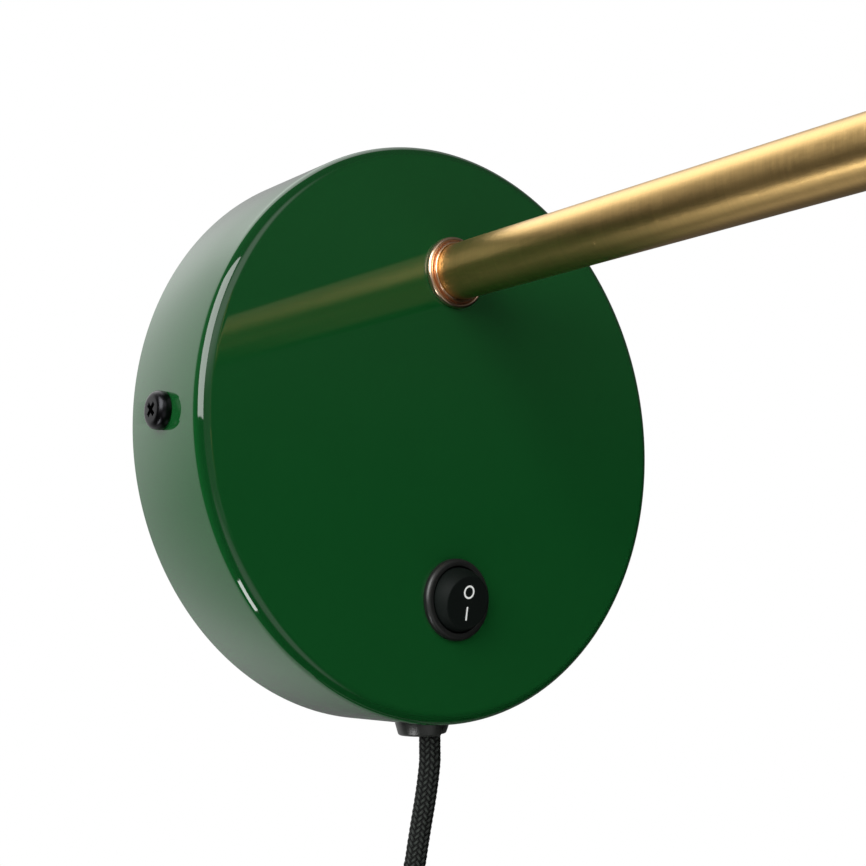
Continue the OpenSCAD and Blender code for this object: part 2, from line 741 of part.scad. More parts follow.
// Mains cord: the free stretch, hand-set points down to the coil's first turn
cord_points = [
  [1.2, -22.6, -88], [1.2, -22.6, -91.5], [1.2, -21.9, -96], [1.2, -20.6, -102], [1.2, -18.9, -108.5],
  [1.2, -17.4, -114.5], [1.1, -15.8, -121], [-0.4, -13.8, -128.5], [-4.6, -12.3, -136], [-9.6, -11.7, -141]
];
cord_sides = 10;
cord_steps = 2;
wall_side = [0, 1, 0];

// Coil: it spirals in on the front layer, climbs a layer in half a turn and spirals out again
coil_x = 0;
coil_z = -192;
coil_back_y = -5;
coil_start = 23.4;
coil_soft_share = 0.08;
coil_nudge_share = 0.001;
rings_per_turn = 24;
coil_sides = 6;
turns = coil_turns + (90 - coil_start) / 360;
function coil_radius(t) = let (e = coil_soft_share, m = turns / 2)
  coil_r - coil_pitch * (sqrt(m * m + e * e) - sqrt((t - m) * (t - m) + e * e));
function coil_climb(t) = let (s = min(1, max(0, 2 * (t - turns / 2) + 0.5))) (1 - cos(180 * s)) / 2;
function coil_point(t) = let (r = coil_radius(t), a = coil_start + 360 * t)
  [coil_x - r * sin(a), coil_back_y - coil_pitch * (1 - coil_climb(t)), coil_z + r * cos(a)];
coil_steps = round(turns * rings_per_turn);
coil_turn_path = [for (i = [0:coil_steps]) coil_point(turns * i / coil_steps)];
coil_first = unit(coil_point(coil_nudge_share) - coil_point(0));
coil_last = unit(coil_point(turns) - coil_point(turns - coil_nudge_share));
coil_in = coil_turn_path[0] - cord_d * coil_first;
coil_out = coil_turn_path[coil_steps] + cord_d * coil_last;
coil_path = concat([coil_in], coil_turn_path, [coil_out]);
function least_gap(path, skip) = min([
  for (i = [0:len(path) - 1 - skip]) min([for (j = [i + skip:len(path) - 1]) norm(path[i] - path[j])])
]) - cord_d;
echo(coil_least_gap = least_gap(coil_turn_path, round(rings_per_turn / 3)));
echo(coil_in = coil_in, coil_out = coil_out, coil_first = coil_first, coil_last = coil_last);

cord_start = [cord_x, cord_y, -canopy_r - grip_flange_h];
cord_path = smooth_route(concat([cord_start], cord_points, [coil_in]), cord_steps);
module cord() color("black") tube(cord_path, cord_r, cord_sides, down, coil_first, wall_side);
module cord_coil() color("black") tube(coil_path, cord_r, coil_sides, coil_first, coil_last, wall_side);

// Short tail from the coil to the plug
tail_points = [[-50.7, -5.1, -206], [-50.7, -5.9, -214], [-50.7, -7.0, -222], [-50.7, -7.6, -229]];
plug_top = [-50.7, -7.8, -236];
tail_path = smooth_route(concat([coil_out], tail_points, [plug_top]), cord_steps);
module cord_tail() color("black") tube(tail_path, cord_r, cord_sides, coil_last, down, wall_side);

// Strap round all the turns of the coil
tie_angle = 37;
tie_gap = 0.3;
tie_corner = 3;
coil_in_r = coil_radius(turns / 2);
tie_low = sqrt(pow(coil_in_r - cord_r, 2) - pow(tie_w / 2, 2)) - tie_gap;
tie_high = coil_r + cord_r + tie_gap;
tie_depth = coil_pitch + cord_d + 2 * tie_gap;
module cord_tie() color("dimgray")
  translate([coil_x, coil_back_y - coil_pitch / 2, coil_z]) rotate([0, -tie_angle, 0])
    translate([-tie_w / 2, 0, (tie_low + tie_high) / 2]) rotate([90, 0, 90])
      linear_extrude(tie_w) difference() {
        round_rect(tie_depth + 2 * tie_t, tie_high - tie_low + 2 * tie_t, tie_corner + tie_t);
        round_rect(tie_depth, tie_high - tie_low, tie_corner);
      }

// Flat two-pin plug with a ribbed sleeve, hanging from the tail
sleeve_top_r = 4;
sleeve_foot_r = 5.6;
sleeve_ribs = 4;
rib_depth = 0.6;
rib_w = 1.6;
scoop_r = 26;
scoop_depth = 6;
plug_round = 3;
plug_head_share = 0.38;
pin_sleeve_h = 10;
pin_sleeve_r = 1.9;
pin_root_r = 1.4;
pin_root_h = 6;
module at_plug() translate(plug_top) mirror([0, 0, 1]) children();
module plug_body() color("black") at_plug() difference() {
  union() {
    difference() {
      cylinder(h = sleeve_h + plug_round, r1 = sleeve_top_r, r2 = sleeve_foot_r);
      for (i = [1:sleeve_ribs]) let (share = i / (sleeve_ribs + 1)) translate([0, 0, sleeve_h * share])
        ring(sleeve_foot_r + cut, sleeve_top_r + (sleeve_foot_r - sleeve_top_r) * share - rib_depth, rib_w);
    }
    translate([0, 0, sleeve_h]) plug_block();
    for (side = [-1, 1]) translate([side * pin_spacing / 2, 0, sleeve_h + plug_h])
      cylinder(h = pin_sleeve_h, r = pin_sleeve_r);
  }
  for (side = [-1, 1]) translate([side * pin_spacing / 2, 0, sleeve_h + plug_h - pin_root_h])
    cylinder(h = pin_root_h + pin_sleeve_h + cut, r = pin_root_r + fit);
}
module plug_block() difference() {
  linear_extrude(plug_h) round_rect(plug_w, plug_t, plug_t / 2 - fit);
  for (side = [-1, 1]) {
    translate([side * (plug_w / 2 + scoop_r - scoop_depth), plug_t, plug_h * plug_head_share])
      rotate([90, 0, 0]) cylinder(h = 2 * plug_t, r = scoop_r);
  }
}
module plug_pins() color("silver") at_plug() for (side = [-1, 1])
  translate([side * pin_spacing / 2, 0, sleeve_h + plug_h]) {
    translate([0, 0, -pin_root_h]) cylinder(h = pin_root_h + pin_sleeve_h + cut, r = pin_root_r);
    translate([0, 0, pin_sleeve_h]) cylinder(h = pin_len - pin_sleeve_h - pin_d / 2, r = pin_d / 2);
    translate([0, 0, pin_len - pin_d / 2]) sphere(r = pin_d / 2);
  }

// Head of the arm: bush, nipple and neck cap
head_nipple_h = 10;
neck_edge = 10;
module head_bush() color("darkgoldenrod") at_head() bush();
module head_nipple() color("silver") at_head(-head_nipple_h) nipple(head_nipple_h + bush_h);
module neck_cap() color("goldenrod") at_head(-neck_h) difference() {
  dish(neck_d / 2, neck_h, neck_edge, neck_wall);
  translate([0, 0, neck_h - neck_wall - cut]) cylinder(h = neck_wall + 2 * cut, r = nipple_r + hole_gap);
}

// Lampholder: a cap on the nipple, a threaded skirt, an insert, contacts and the screw shell
cap_h = 22;
cap_edge = 7;
cap_wall = 1.6;
cap_top = -neck_wall - seat_gap;
cap_r = skirt_d / 2;
hub_r = 7.5;
hub_h = 8;
spigot_h = 6;
spigot_gap = 0.15;
spigot_r = cap_r - cap_wall - spigot_gap;
shoulder_out = 1.1;
shoulder_r = skirt_d / 2 + shoulder_out;
shoulder_h = 4;
skirt_top = cap_top - cap_h - seat_gap;
skirt_below_plate = 19;
skirt_low = -neck_h - skirt_below_plate;
ledge_r = 15.6;
ledge_h = 1.8;
ledge_drop = 10;
ledge_z = skirt_top - ledge_drop;
module lampholder_cap() color("dimgray") at_head(cap_top - cap_h) difference() {
  union() {
    dish(cap_r, cap_h, cap_edge, cap_wall);
    translate([0, 0, cap_h - hub_h]) cylinder(h = hub_h - cap_wall / 2, r = hub_r);
  }
  translate([0, 0, cap_h - hub_h - cut]) cylinder(h = hub_h + 2 * cut, r = nipple_r + fit);
}
module lampholder_skirt() color("dimgray") at_head() difference() {
  union() {
    translate([0, 0, skirt_low]) cylinder(h = skirt_top - skirt_low, r = skirt_d / 2);
    translate([0, 0, -neck_h + seat_gap]) cylinder(h = shoulder_h, r = shoulder_r);
    translate([0, 0, skirt_top - cut]) cylinder(h = spigot_h + cut, r = spigot_r);
  }
  translate([0, 0, skirt_low - cut]) cylinder(h = ledge_z - skirt_low + cut, r = skirt_d / 2 - skirt_wall);
  translate([0, 0, skirt_low]) cylinder(h = skirt_top - skirt_low, r = ledge_r);
  translate([0, 0, ledge_z + ledge_h])
    cylinder(h = skirt_top - ledge_z + spigot_h, r = spigot_r - skirt_wall);
}
insert_r = spigot_r - skirt_wall - spigot_gap;
insert_h = 8;
insert_z = ledge_z + ledge_h + fit;
insert_boss_h = 4;
shell_wall = 0.5;
shell_h = 22;
shell_lip = 0.6;
shell_top = insert_z - insert_boss_h;
module lampholder_insert() color("ivory") at_head() difference() {
  union() {
    translate([0, 0, insert_z]) cylinder(h = insert_h, r = insert_r);
    translate([0, 0, insert_z - insert_boss_h]) cylinder(h = insert_boss_h + cut, r = ledge_r - spigot_gap);
  }
  for (side = [-1, 1]) translate([side * contact_gap / 2, 0, shell_top - cut])
    cylinder(h = insert_h + insert_boss_h + 2 * cut, r = contact_rod_r + fit);
}
contact_gap = 16;
contact_rod_r = 1.6;
contact_head_r = 2.6;
contact_head_h = 2;
tongue_t = 0.5;
tongue_w = 5;
tongue_drop = 1.2;
module lampholder_contacts() color("gold") at_head() {
  for (side = [-1, 1]) translate([side * contact_gap / 2, 0, 0]) {
    translate([0, 0, shell_top]) cylinder(h = insert_h + insert_boss_h + contact_head_h, r = contact_rod_r);
    translate([0, 0, insert_z + insert_h]) cylinder(h = contact_head_h, r = contact_head_r);
  }
  translate([-contact_gap / 2 - contact_rod_r, -tongue_w / 2, shell_top - tongue_t - fit])
    cube([contact_gap / 2 + contact_rod_r + tongue_w / 2, tongue_w, tongue_t]);
  translate([-contact_gap / 2, 0, shell_top - tongue_t]) cylinder(h = tongue_t, r = contact_rod_r);
  translate([0, 0, shell_top - tongue_t - tongue_drop]) cylinder(h = tongue_drop, r = tongue_w / 2);
}
module screw_shell() color("gold") at_head() {
  translate([0, 0, shell_top - shell_h]) ring(shell_d / 2 + shell_wall, shell_d / 2, shell_h - fit);
  translate([0, 0, shell_top - shell_h]) ring(shell_d / 2 + shell_wall + shell_lip, shell_d / 2, shell_wall);
}
module head_cores() for (side = [-1, 1]) color(side < 0 ? "saddlebrown" : "royalblue") wire(
  [side * core_offset, -head_u, head_w - cable_after], unit([0.4 * side, 0, -1]),
  [side * contact_gap / 2, -head_u, head_w + insert_z + insert_h + contact_head_h], down,
  core_r, [0, 1, 0], 0.3, down
);

// Shade: a spun dome with a flat top, a hole for the holder and a rolled rim; and the ring that holds it
ball_shade_r = shade_d / 2;
shade_centre = -neck_h - sqrt(pow(ball_shade_r, 2) - pow(shade_top_r, 2));
shade_low = -neck_h - shade_h;
shade_hole_r = skirt_d / 2 + 2 * hole_gap;
rim_r = sqrt(pow(ball_shade_r, 2) - pow(shade_low - shade_centre, 2)) - shade_wall / 2;
module shade() color("darkgreen") at_head() rotate_extrude() {
  intersection() {
    translate([0, shade_centre]) difference() {
      half_disc(ball_shade_r);
      half_disc(ball_shade_r - shade_wall);
    }
    translate([shade_top_r / 2, shade_low]) square([ball_shade_r, shade_h]);
  }
  translate([shade_hole_r, -neck_h - shade_wall]) square([shade_top_r - shade_hole_r, shade_wall]);
  translate([rim_r, shade_low]) circle(r = bead_r);
}
ring_lip = 1.5;
ring_lip_share = 0.3;
module shade_ring() color("dimgray") at_head(-neck_h - shade_wall - shade_ring_h) difference() {
  union() {
    cylinder(h = shade_ring_h, r = skirt_d / 2 + ring_lip + hole_gap);
    translate([0, 0, shade_ring_h * (1 - ring_lip_share)])
      cylinder(h = shade_ring_h * ring_lip_share, r = shade_ring_d / 2);
  }
  translate([0, 0, -cut]) cylinder(h = shade_ring_h + 2 * cut, r = skirt_d / 2 + hole_gap);
}

// Bulb: a screw cap with its tip contact, a hollow round glass and two filament rods on a stem
tip_h = 1.6;
tip_contact_r = 4;
bulb_top = shell_top - tongue_t - tongue_drop - seat_gap;
cap_cone_h = 3;
bulb_cap_low = bulb_top - tip_h - cap_cone_h - bulb_cap_h;
glass_wall = 0.8;
glass_neck_in = 1.2;
glass_neck_r = bulb_cap_d / 2 - glass_neck_in;
glass_neck_h = 2;
glass_centre = bulb_cap_low - sqrt(pow(bulb_d / 2, 2) - pow(glass_neck_r, 2)) - glass_neck_h;
glass_sleeve = 4;
cap_skin = 0.6;
module bulb_cap() color("silver") at_head() rotate_extrude() polygon([
  [0, bulb_top], [tip_contact_r, bulb_top], [tip_contact_r, bulb_top - tip_h],
  [bulb_cap_d / 2 - cap_skin, bulb_top - tip_h - cap_cone_h],
  [bulb_cap_d / 2, bulb_top - tip_h - cap_cone_h - cap_skin],
  [bulb_cap_d / 2, bulb_cap_low], [glass_neck_r + fit, bulb_cap_low],
  [glass_neck_r + fit, bulb_cap_low + glass_sleeve + fit], [0, bulb_cap_low + glass_sleeve + fit]
]);
module bulb_glass() color("white", 0.4) at_head() rotate_extrude() difference() {
  glass_half(0);
  glass_half(glass_wall);
}
module glass_half(inset) {
  translate([0, glass_centre]) half_disc(bulb_d / 2 - inset);
  translate([0, glass_centre])
    square([glass_neck_r - inset, bulb_cap_low + glass_sleeve - glass_centre - inset]);
}
stem_r = 3.5;
rod_r = 0.9;
rod_gap = 9;
rod_h = 26;
stem_low_share = 0.3;
module bulb_filament() color("orange") at_head() {
  stem_top = bulb_cap_low + glass_sleeve - glass_wall - fit;
  stem_low = glass_centre + bulb_d * stem_low_share;
  translate([0, 0, stem_low]) cylinder(h = stem_top - stem_low, r = stem_r);
  for (side = [-1, 1]) translate([side * rod_gap / 2, 0, stem_low - rod_h])
    cylinder(h = rod_h + stem_r / 2, r = rod_r);
  translate([-rod_gap / 2, -rod_r, stem_low]) cube([rod_gap, 2 * rod_r, stem_r / 2]);
}

canopy();
mounting_bracket();
side_screws();
collar_ring();
arm_tube();
arm_bush();
arm_nipple();
arm_washer();
lock_washer();
arm_nut();
switch_housing();
rocker_button();
switch_plunger();
switch_spring();
contact_lever();
switch_terminals();
grip_body();
grip_wedge();
terminal_block();
terminal_barrels();
terminal_screws();
block_screw();
cord_inner_end();
supply_cores();
switched_core();
lamp_cores();
lamp_cable();
head_cores();
cord();
cord_coil();
cord_tie();
cord_tail();
plug_body();
plug_pins();
head_bush();
head_nipple();
neck_cap();
shade();
shade_ring();
lampholder_cap();
lampholder_skirt();
lampholder_insert();
lampholder_contacts();
screw_shell();
bulb_cap();
bulb_glass();
bulb_filament();
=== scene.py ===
"""Finished surfaces of a plug-in wall lamp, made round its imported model.

The lamp has a round enamelled canopy, a bent brass arm, a dome shade, a rocker switch and a braided cord.
Lengths are in metres. +Z is up, -Y points away from the wall, and the origin is at the canopy's back.
"""

import logging
import math
from collections.abc import Callable, Iterable, Sequence
from dataclasses import dataclass, field
from enum import Enum

import bmesh
import bpy
from mathutils import Matrix, Quaternion, Vector


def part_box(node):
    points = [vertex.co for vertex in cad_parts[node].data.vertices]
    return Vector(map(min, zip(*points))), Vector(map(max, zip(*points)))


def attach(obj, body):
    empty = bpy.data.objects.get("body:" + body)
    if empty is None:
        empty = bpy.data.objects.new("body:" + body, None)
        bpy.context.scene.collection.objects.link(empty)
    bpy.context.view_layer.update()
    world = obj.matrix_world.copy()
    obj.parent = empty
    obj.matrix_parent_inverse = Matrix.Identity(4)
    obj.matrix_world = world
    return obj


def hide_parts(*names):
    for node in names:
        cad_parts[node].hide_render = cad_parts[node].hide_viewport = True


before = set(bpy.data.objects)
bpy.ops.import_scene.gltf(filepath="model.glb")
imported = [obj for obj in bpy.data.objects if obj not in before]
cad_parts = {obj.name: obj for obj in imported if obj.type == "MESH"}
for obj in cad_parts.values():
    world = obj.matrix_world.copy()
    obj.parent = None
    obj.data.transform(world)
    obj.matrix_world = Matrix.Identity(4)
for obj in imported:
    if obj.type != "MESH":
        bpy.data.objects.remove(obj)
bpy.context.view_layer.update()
log = logging.getLogger("wall_lamp")

MM = 0.001
TURN = 2 * math.pi
TINY = 1e-6

Colour = tuple[float, float, float]
Value = "float | Signal"


class NodeTree:
    """The nodes of a material or a world, added one by one."""

    def __init__(self, tree: bpy.types.NodeTree) -> None:
        """Empties a node tree.

        Args:
            tree: The tree to fill.
        """
        self.tree = tree
        self.tree.nodes.clear()

    def node(self, kind: str, settings: dict | None = None, inputs: dict | None = None) -> bpy.types.Node:
        """Adds a node.

        Args:
            kind: Blender's type name of the node.
            settings: Properties, which are set first.
            inputs: Values or links by the socket's name or number.

        Returns:
            The new node.
        """
        made = self.tree.nodes.new(kind)
        for key, value in (settings or {}).items():
            setattr(made, key, value)
        for key, value in (inputs or {}).items():
            self.feed(made.inputs[key], value)
        return made

    def feed(self, socket: bpy.types.NodeSocket, value: object) -> None:
        """Links a signal or a socket to a socket, or sets its value.

        Args:
            socket: The input.
            value: A Signal, an output socket, a number, a colour or a vector.
        """
        if isinstance(value, Signal):
            self.tree.links.new(value.socket, socket)
        elif isinstance(value, bpy.types.NodeSocket):
            self.tree.links.new(value, socket)
        elif isinstance(value, (tuple, Vector)) and socket.type == "RGBA":
            socket.default_value = (*value, 1)
        else:
            socket.default_value = value

    def signal(self, kind: str, settings: dict | None = None, inputs: dict | None = None,
               output: str | int = 0) -> "Signal":
        """Adds a node and gives one of its outputs as a signal.

        Args:
            kind: Blender's type name of the node.
            settings: Properties, as node takes them.
            inputs: Values or links, as node takes them.
            output: The output's name or number.

        Returns:
            The output as a signal.
        """
        return Signal(self, self.node(kind, settings, inputs).outputs[output])

    def split(self, source: bpy.types.NodeSocket) -> tuple["Signal", "Signal", "Signal"]:
        """Gives the x, y and z of a vector."""
        made = self.node("ShaderNodeSeparateXYZ", None, {0: source})
        return tuple(Signal(self, socket) for socket in made.outputs)

    def mix(self, share: Value, first: object, second: object) -> "Signal":
        """Mixes two colours.

        Args:
            share: How much of the second colour there is, from 0 to 1.
            first: A colour or a link.
            second: A colour or a link.

        Returns:
            The mixed colour.
        """
        made = self.node("ShaderNodeMix", {"data_type": "RGBA"}, {0: share})
        self.feed(made.inputs[6], first)
        self.feed(made.inputs[7], second)
        return Signal(self, made.outputs[2])


def math_node(operation: str, swapped: bool = False) -> Callable[..., "Signal"]:
    """Makes a method that adds a Math node.

    Args:
        operation: Blender's name of the sum.
        swapped: Whether the other value comes before the signal.

    Returns:
        The method. It takes the other value where the sum has two.
    """
    def method(self: "Signal", *others: Value) -> "Signal":
        """Adds the node on the signal and the other value."""
        values = (*others, self) if swapped else (self, *others)
        return self.tree.signal("ShaderNodeMath", {"operation": operation}, dict(enumerate(values)))

    return method


@dataclass(frozen=True)
class Signal:
    """A node's output that takes part in sums, each of which adds a Math node.

    The method floor gives the whole part and part gives the rest. The sine is of an angle in radians,
    and y.angle_to(x) is the angle of the point (x, y). The method above gives 1 where the signal is
    greater, else 0, and highest gives the greater of two values.
    """

    tree: NodeTree
    socket: bpy.types.NodeSocket

    __add__ = __radd__ = math_node("ADD")
    __sub__ = math_node("SUBTRACT")
    __rsub__ = math_node("SUBTRACT", swapped=True)
    __mul__ = __rmul__ = math_node("MULTIPLY")
    __truediv__ = math_node("DIVIDE")
    __pow__ = math_node("POWER")
    floor = math_node("FLOOR")
    part = math_node("FRACT")
    sine = math_node("SINE")
    angle_to = math_node("ARCTAN2")
    above = math_node("GREATER_THAN")
    highest = math_node("MAXIMUM")

    def over(self, low: float, high: float) -> "Signal":
        """Smooth step from 0 at low to 1 at high.

        Args:
            low: Where the step starts.
            high: Where it ends.

        Returns:
            The step.
        """
        settings = {"interpolation_type": "SMOOTHSTEP"}
        return self.tree.signal("ShaderNodeMapRange", settings, {"Value": self, 1: low, 2: high})


class Grain(Enum):
    """Which way the fine lines of a metal run."""

    ROUND_A_TUBE = "straight"
    ROUND_THE_HEAD = "head"


class Paint(NodeTree):
    """A material with one Principled shader."""

    def __init__(self, name: str) -> None:
        """Starts a material.

        Args:
            name: The material's name.
        """
        self.material = bpy.data.materials.new(name)
        self.material.use_nodes = True
        super().__init__(self.material.node_tree)
        self.shader = self.node("ShaderNodeBsdfPrincipled")
        output = self.node("ShaderNodeOutputMaterial")
        self.tree.links.new(self.shader.outputs[0], output.inputs["Surface"])

    def set(self, **values: object) -> None:
        """Sets or links the shader's sockets, which are named with _ for a space."""
        for key, value in values.items():
            self.feed(self.shader.inputs[key.replace("_", " ")], value)

    def place(self, scale: Sequence[float] = (1, 1, 1),
              attribute: str | None = None) -> bpy.types.NodeSocket:
        """Gives the surface's coordinates.

        Args:
            scale: Factors on x, y and z.
            attribute: The vector attribute to read in place of Object coordinates.

        Returns:
            The coordinates' socket.
        """
        if attribute:
            source = self.node("ShaderNodeAttribute", {"attribute_name": attribute}).outputs["Vector"]
        else:
            source = self.node("ShaderNodeTexCoord").outputs["Object"]
        return self.node("ShaderNodeMapping", None, {"Vector": source, "Scale": tuple(scale)}).outputs[0]

    def noise(self, size: float, place: bpy.types.NodeSocket | None = None, detail: float = 3,
              roughness: float = 0.5) -> Signal:
        """Adds a noise pattern.

        Args:
            size: The size of its grains, in metres where place isn't scaled.
            place: Coordinates, or None for Object coordinates.
            detail: How many finer layers it has.
            roughness: How strong the finer layers are.

        Returns:
            The pattern, from 0 to 1 with a middle of 0.5.
        """
        inputs = {"Vector": place or self.place(), "Scale": 1 / size, "Detail": detail,
                  "Roughness": roughness}
        return self.signal("ShaderNodeTexNoise", None, inputs)

    def bump(self, height: Signal, depth: float) -> None:
        """Bumps the surface.

        Args:
            height: The pattern, from 0 to 1.
            depth: The height of the pattern in metres.
        """
        inputs = {"Height": height, "Distance": depth}
        self.set(Normal=self.node("ShaderNodeBump", None, inputs).outputs[0])


def darker(colour: Colour, share: float) -> Colour:
    """Scales a colour."""
    return tuple(share * part for part in colour)


@dataclass(frozen=True)
class Finish:
    """A material of the lamp. Each kind covers the paint in its own way."""

    name: str

    def make(self) -> bpy.types.Material:
        """Makes the material."""
        paint = Paint(self.name)
        self.cover(paint)
        return paint.material

    def cover(self, paint: Paint) -> None:
        """Sets the shader's sockets."""
        raise NotImplementedError


@dataclass(frozen=True)
class Enamel(Finish):
    """Sprayed and baked gloss paint with a little orange peel.

    Attributes:
        name: The material's name.
        colour: Its colour.
        coat_roughness: How rough its surface is.
        cloud: The size of faint clouds in the colour.
        deep: The share of the colour that is left in the clouds.
        peel: The size of the orange peel.
        peel_depth: The height of the orange peel.
        rim: How strongly the canopy's front rim is darkened with painted shade, from 0 to 1.
        rim_shade_colour: The share of the colour that is left in the rim's painted shade.
        rim_r: The distances from the canopy's axis between which the painted shade comes in.
        rim_shade_out: The distances from the wall between which the painted shade comes in.
    """

    colour: Colour
    coat_roughness: float = 0.04
    cloud: float = 30 * MM
    deep: float = 0.94
    peel: float = 2.2 * MM
    peel_depth: float = 0.6e-6
    rim: float = 0.0
    rim_shade_colour: float = 0.3
    rim_r: tuple[float, float] = (77 * MM, 79.5 * MM)
    rim_shade_out: tuple[float, float] = (31.5 * MM, 34 * MM)

    def cover(self, paint: Paint) -> None:
        """Sets the shader's sockets."""
        paint.set(Roughness=0.6, Specular_IOR_Level=0.0, Coat_Weight=1.0)
        paint.set(Coat_Roughness=self.coat_roughness)
        cloud = paint.noise(self.cloud, detail=2)
        x, y, z = paint.split(paint.place())
        # The canopy's front rim is darkened towards a share of the colour: painted shade.
        rim = ((x * x + z * z) ** 0.5).over(*self.rim_r) * (-1.0 * y).over(*self.rim_shade_out) * self.rim
        clouded = paint.mix(cloud, self.colour, darker(self.colour, self.deep))
        paint.set(Base_Color=paint.mix(rim, clouded, darker(self.colour, self.rim_shade_colour)))
        paint.bump(paint.noise(self.peel, detail=1.5), self.peel_depth)


@dataclass(frozen=True)
class BrushedMetal(Finish):
    """Metal with fine lines from a belt or a lathe tool."""

    colour: Colour
    grain: Grain
    roughness: float = 0.31
    line: float = 0.16 * MM
    depth: float = 0.03 * MM
    stretch: float = 0.012
    cloud: float = 14 * MM
    worn: float = 0.72

    def cover(self, paint: Paint) -> None:
        """Sets the shader's sockets."""
        paint.set(Metallic=1.0)
        attribute = self.grain.value if self.grain is Grain.ROUND_A_TUBE else None
        across = (self.stretch, self.stretch, 1)
        fine = paint.noise(self.line, paint.place(across, attribute), detail=2, roughness=0.6)
        broad = paint.noise(6 * self.line, paint.place(across, attribute), detail=2)
        cloud = paint.noise(self.cloud, paint.place((1, 1, 1), attribute), detail=2)
        worn = darker(self.colour, self.worn)
        paint.set(Base_Color=paint.mix(fine * 0.5 + broad * 0.4, worn, self.colour))
        paint.set(Roughness=self.roughness - 0.06 + 0.08 * broad + 0.05 * cloud)
        paint.bump(fine, self.depth)


@dataclass(frozen=True)
class SmoothMetal(Finish):
    """Turned, plated or drawn metal with faint marks."""

    colour: Colour
    roughness: float = 0.16
    haze: float = 6 * MM
    dull: float = 0.86
    marks: float = 0.5 * MM
    mark_depth: float = 0.8e-6

    def cover(self, paint: Paint) -> None:
        """Sets the shader's sockets."""
        paint.set(Metallic=1.0)
        haze = paint.noise(self.haze, detail=3)
        paint.set(Base_Color=paint.mix(haze, self.colour, darker(self.colour, self.dull)))
        paint.set(Roughness=self.roughness - 0.03 + 0.08 * haze)
        paint.bump(paint.noise(self.marks, paint.place((1, 1, 3)), detail=3), self.mark_depth)


@dataclass(frozen=True)
class Moulded(Finish):
    """Moulded plastic with the fine spark texture of its tool."""

    colour: Colour
    roughness: float = 0.38
    grain: float = 0.18 * MM
    depth: float = 4e-6
    shine: float = 0.5
    haze: float = 5 * MM
    dull: float = 0.8

    def cover(self, paint: Paint) -> None:
        """Sets the shader's sockets."""
        paint.set(Specular_IOR_Level=self.shine)
        spark = paint.noise(self.grain, detail=2, roughness=0.6)
        haze = paint.noise(self.haze, detail=2)
        paint.set(Base_Color=paint.mix(haze * 0.6, self.colour, darker(self.colour, self.dull)))
        paint.set(Roughness=self.roughness - 0.05 + 0.1 * haze)
        paint.bump(spark, self.depth)


@dataclass(frozen=True)
class Braid(Finish):
    """Textile braid: strands of two hands that pass over and under each other on a round cord."""

    strands: int = 12
    lay: float = 1.7 * MM
    threads: int = 3
    fuzz: float = 0.3 * MM
    depth: float = 0.3 * MM
    # Two colours follow: the braid's black, made darkest in the grooves as painted shade, and a lighter
    # grey that paints a highlight on the strands' crowns.
    shaded_black: Colour = (0.0006, 0.0008, 0.0007)
    light: Colour = (0.026, 0.032, 0.027)

    def relief(self, angle: float, run: float) -> float:
        """Height of the braid at a point of the cord.

        Args:
            angle: Place round the cord, in radians.
            run: Distance along the cord.

        Returns:
            The height, from 0 in the grooves to 1 on the strands.
        """
        first = angle / TURN * self.strands + run / self.lay
        second = angle / TURN * self.strands - run / self.lay
        step = (math.floor(first) + math.floor(second)) % 4
        across, along = (first % 1, step + second % 1) if step < 2 else (second % 1, step - 2 + first % 1)
        return math.sqrt(max(0.0, math.sin(math.pi * across) * math.sin(math.pi / 2 * along)))

    def cover(self, paint: Paint) -> None:
        """Sets the shader's sockets."""
        paint.set(Specular_IOR_Level=0.2)
        source = paint.node("ShaderNodeAttribute", {"attribute_name": Grain.ROUND_A_TUBE.value})
        x, y, run = paint.split(source.outputs["Vector"])
        turn = y.angle_to(x) / TURN * self.strands
        first = turn + run / self.lay
        second = turn - run / self.lay
        step = ((first.floor() + second.floor()) / 4).part() * 4
        under = step.above(1.5)
        over = 1 - under
        across = first.part() * over + second.part() * under
        along = (step + second.part()) * over + (step - 2 + first.part()) * under
        height = ((across * math.pi).sine() * (along * (math.pi / 2)).sine()).highest(0) ** 0.5
        threads = (across * (TURN * self.threads)).sine() * 0.5 + 0.5
        fuzz = paint.noise(self.fuzz, detail=3)
        # The strands' crowns are painted lighter as a painted highlight, and the grooves stay darkest as
        # painted shade; the cord itself is black throughout.
        shine = height ** 3 * (0.7 + 0.3 * threads) * (0.4 + 1.2 * fuzz)
        paint.set(Base_Color=paint.mix(shine, self.shaded_black, self.light))
        paint.set(Roughness=0.78 - 0.2 * height)
        paint.bump(height * 0.85 + threads * 0.1 + fuzz * 0.05, self.depth)


@dataclass(frozen=True)
class Webbing(Finish):
    """Woven strap with a fine plain weave."""

    colour: Colour
    thread: float = 0.7 * MM
    fuzz: float = 0.25 * MM
    depth: float = 0.12 * MM
    gap: float = 0.4

    def cover(self, paint: Paint) -> None:
        """Sets the shader's sockets."""
        paint.set(Specular_IOR_Level=0.3)
        x, _, z = paint.split(paint.place())
        rows = (x * (TURN / self.thread)).sine() * (z * (TURN / self.thread)).sine() * 0.5 + 0.5
        fuzz = paint.noise(self.fuzz, detail=3)
        light = rows * 0.6 + fuzz * 0.4
        paint.set(Base_Color=paint.mix(light, darker(self.colour, self.gap), self.colour))
        paint.set(Roughness=0.7 + 0.15 * fuzz)
        paint.bump(rows * 0.8 + fuzz * 0.2, self.depth)


@dataclass(frozen=True)
class ClearGlass(Finish):
    """Thin clear glass of a bulb."""

    def cover(self, paint: Paint) -> None:
        """Sets the shader's sockets."""
        paint.set(Transmission_Weight=1.0, IOR=1.45)
        haze = paint.noise(4 * MM, detail=2)
        paint.set(Base_Color=paint.mix(haze, (0.97, 0.97, 0.95), (0.93, 0.94, 0.92)))
        paint.set(Roughness=0.01 + 0.03 * haze)


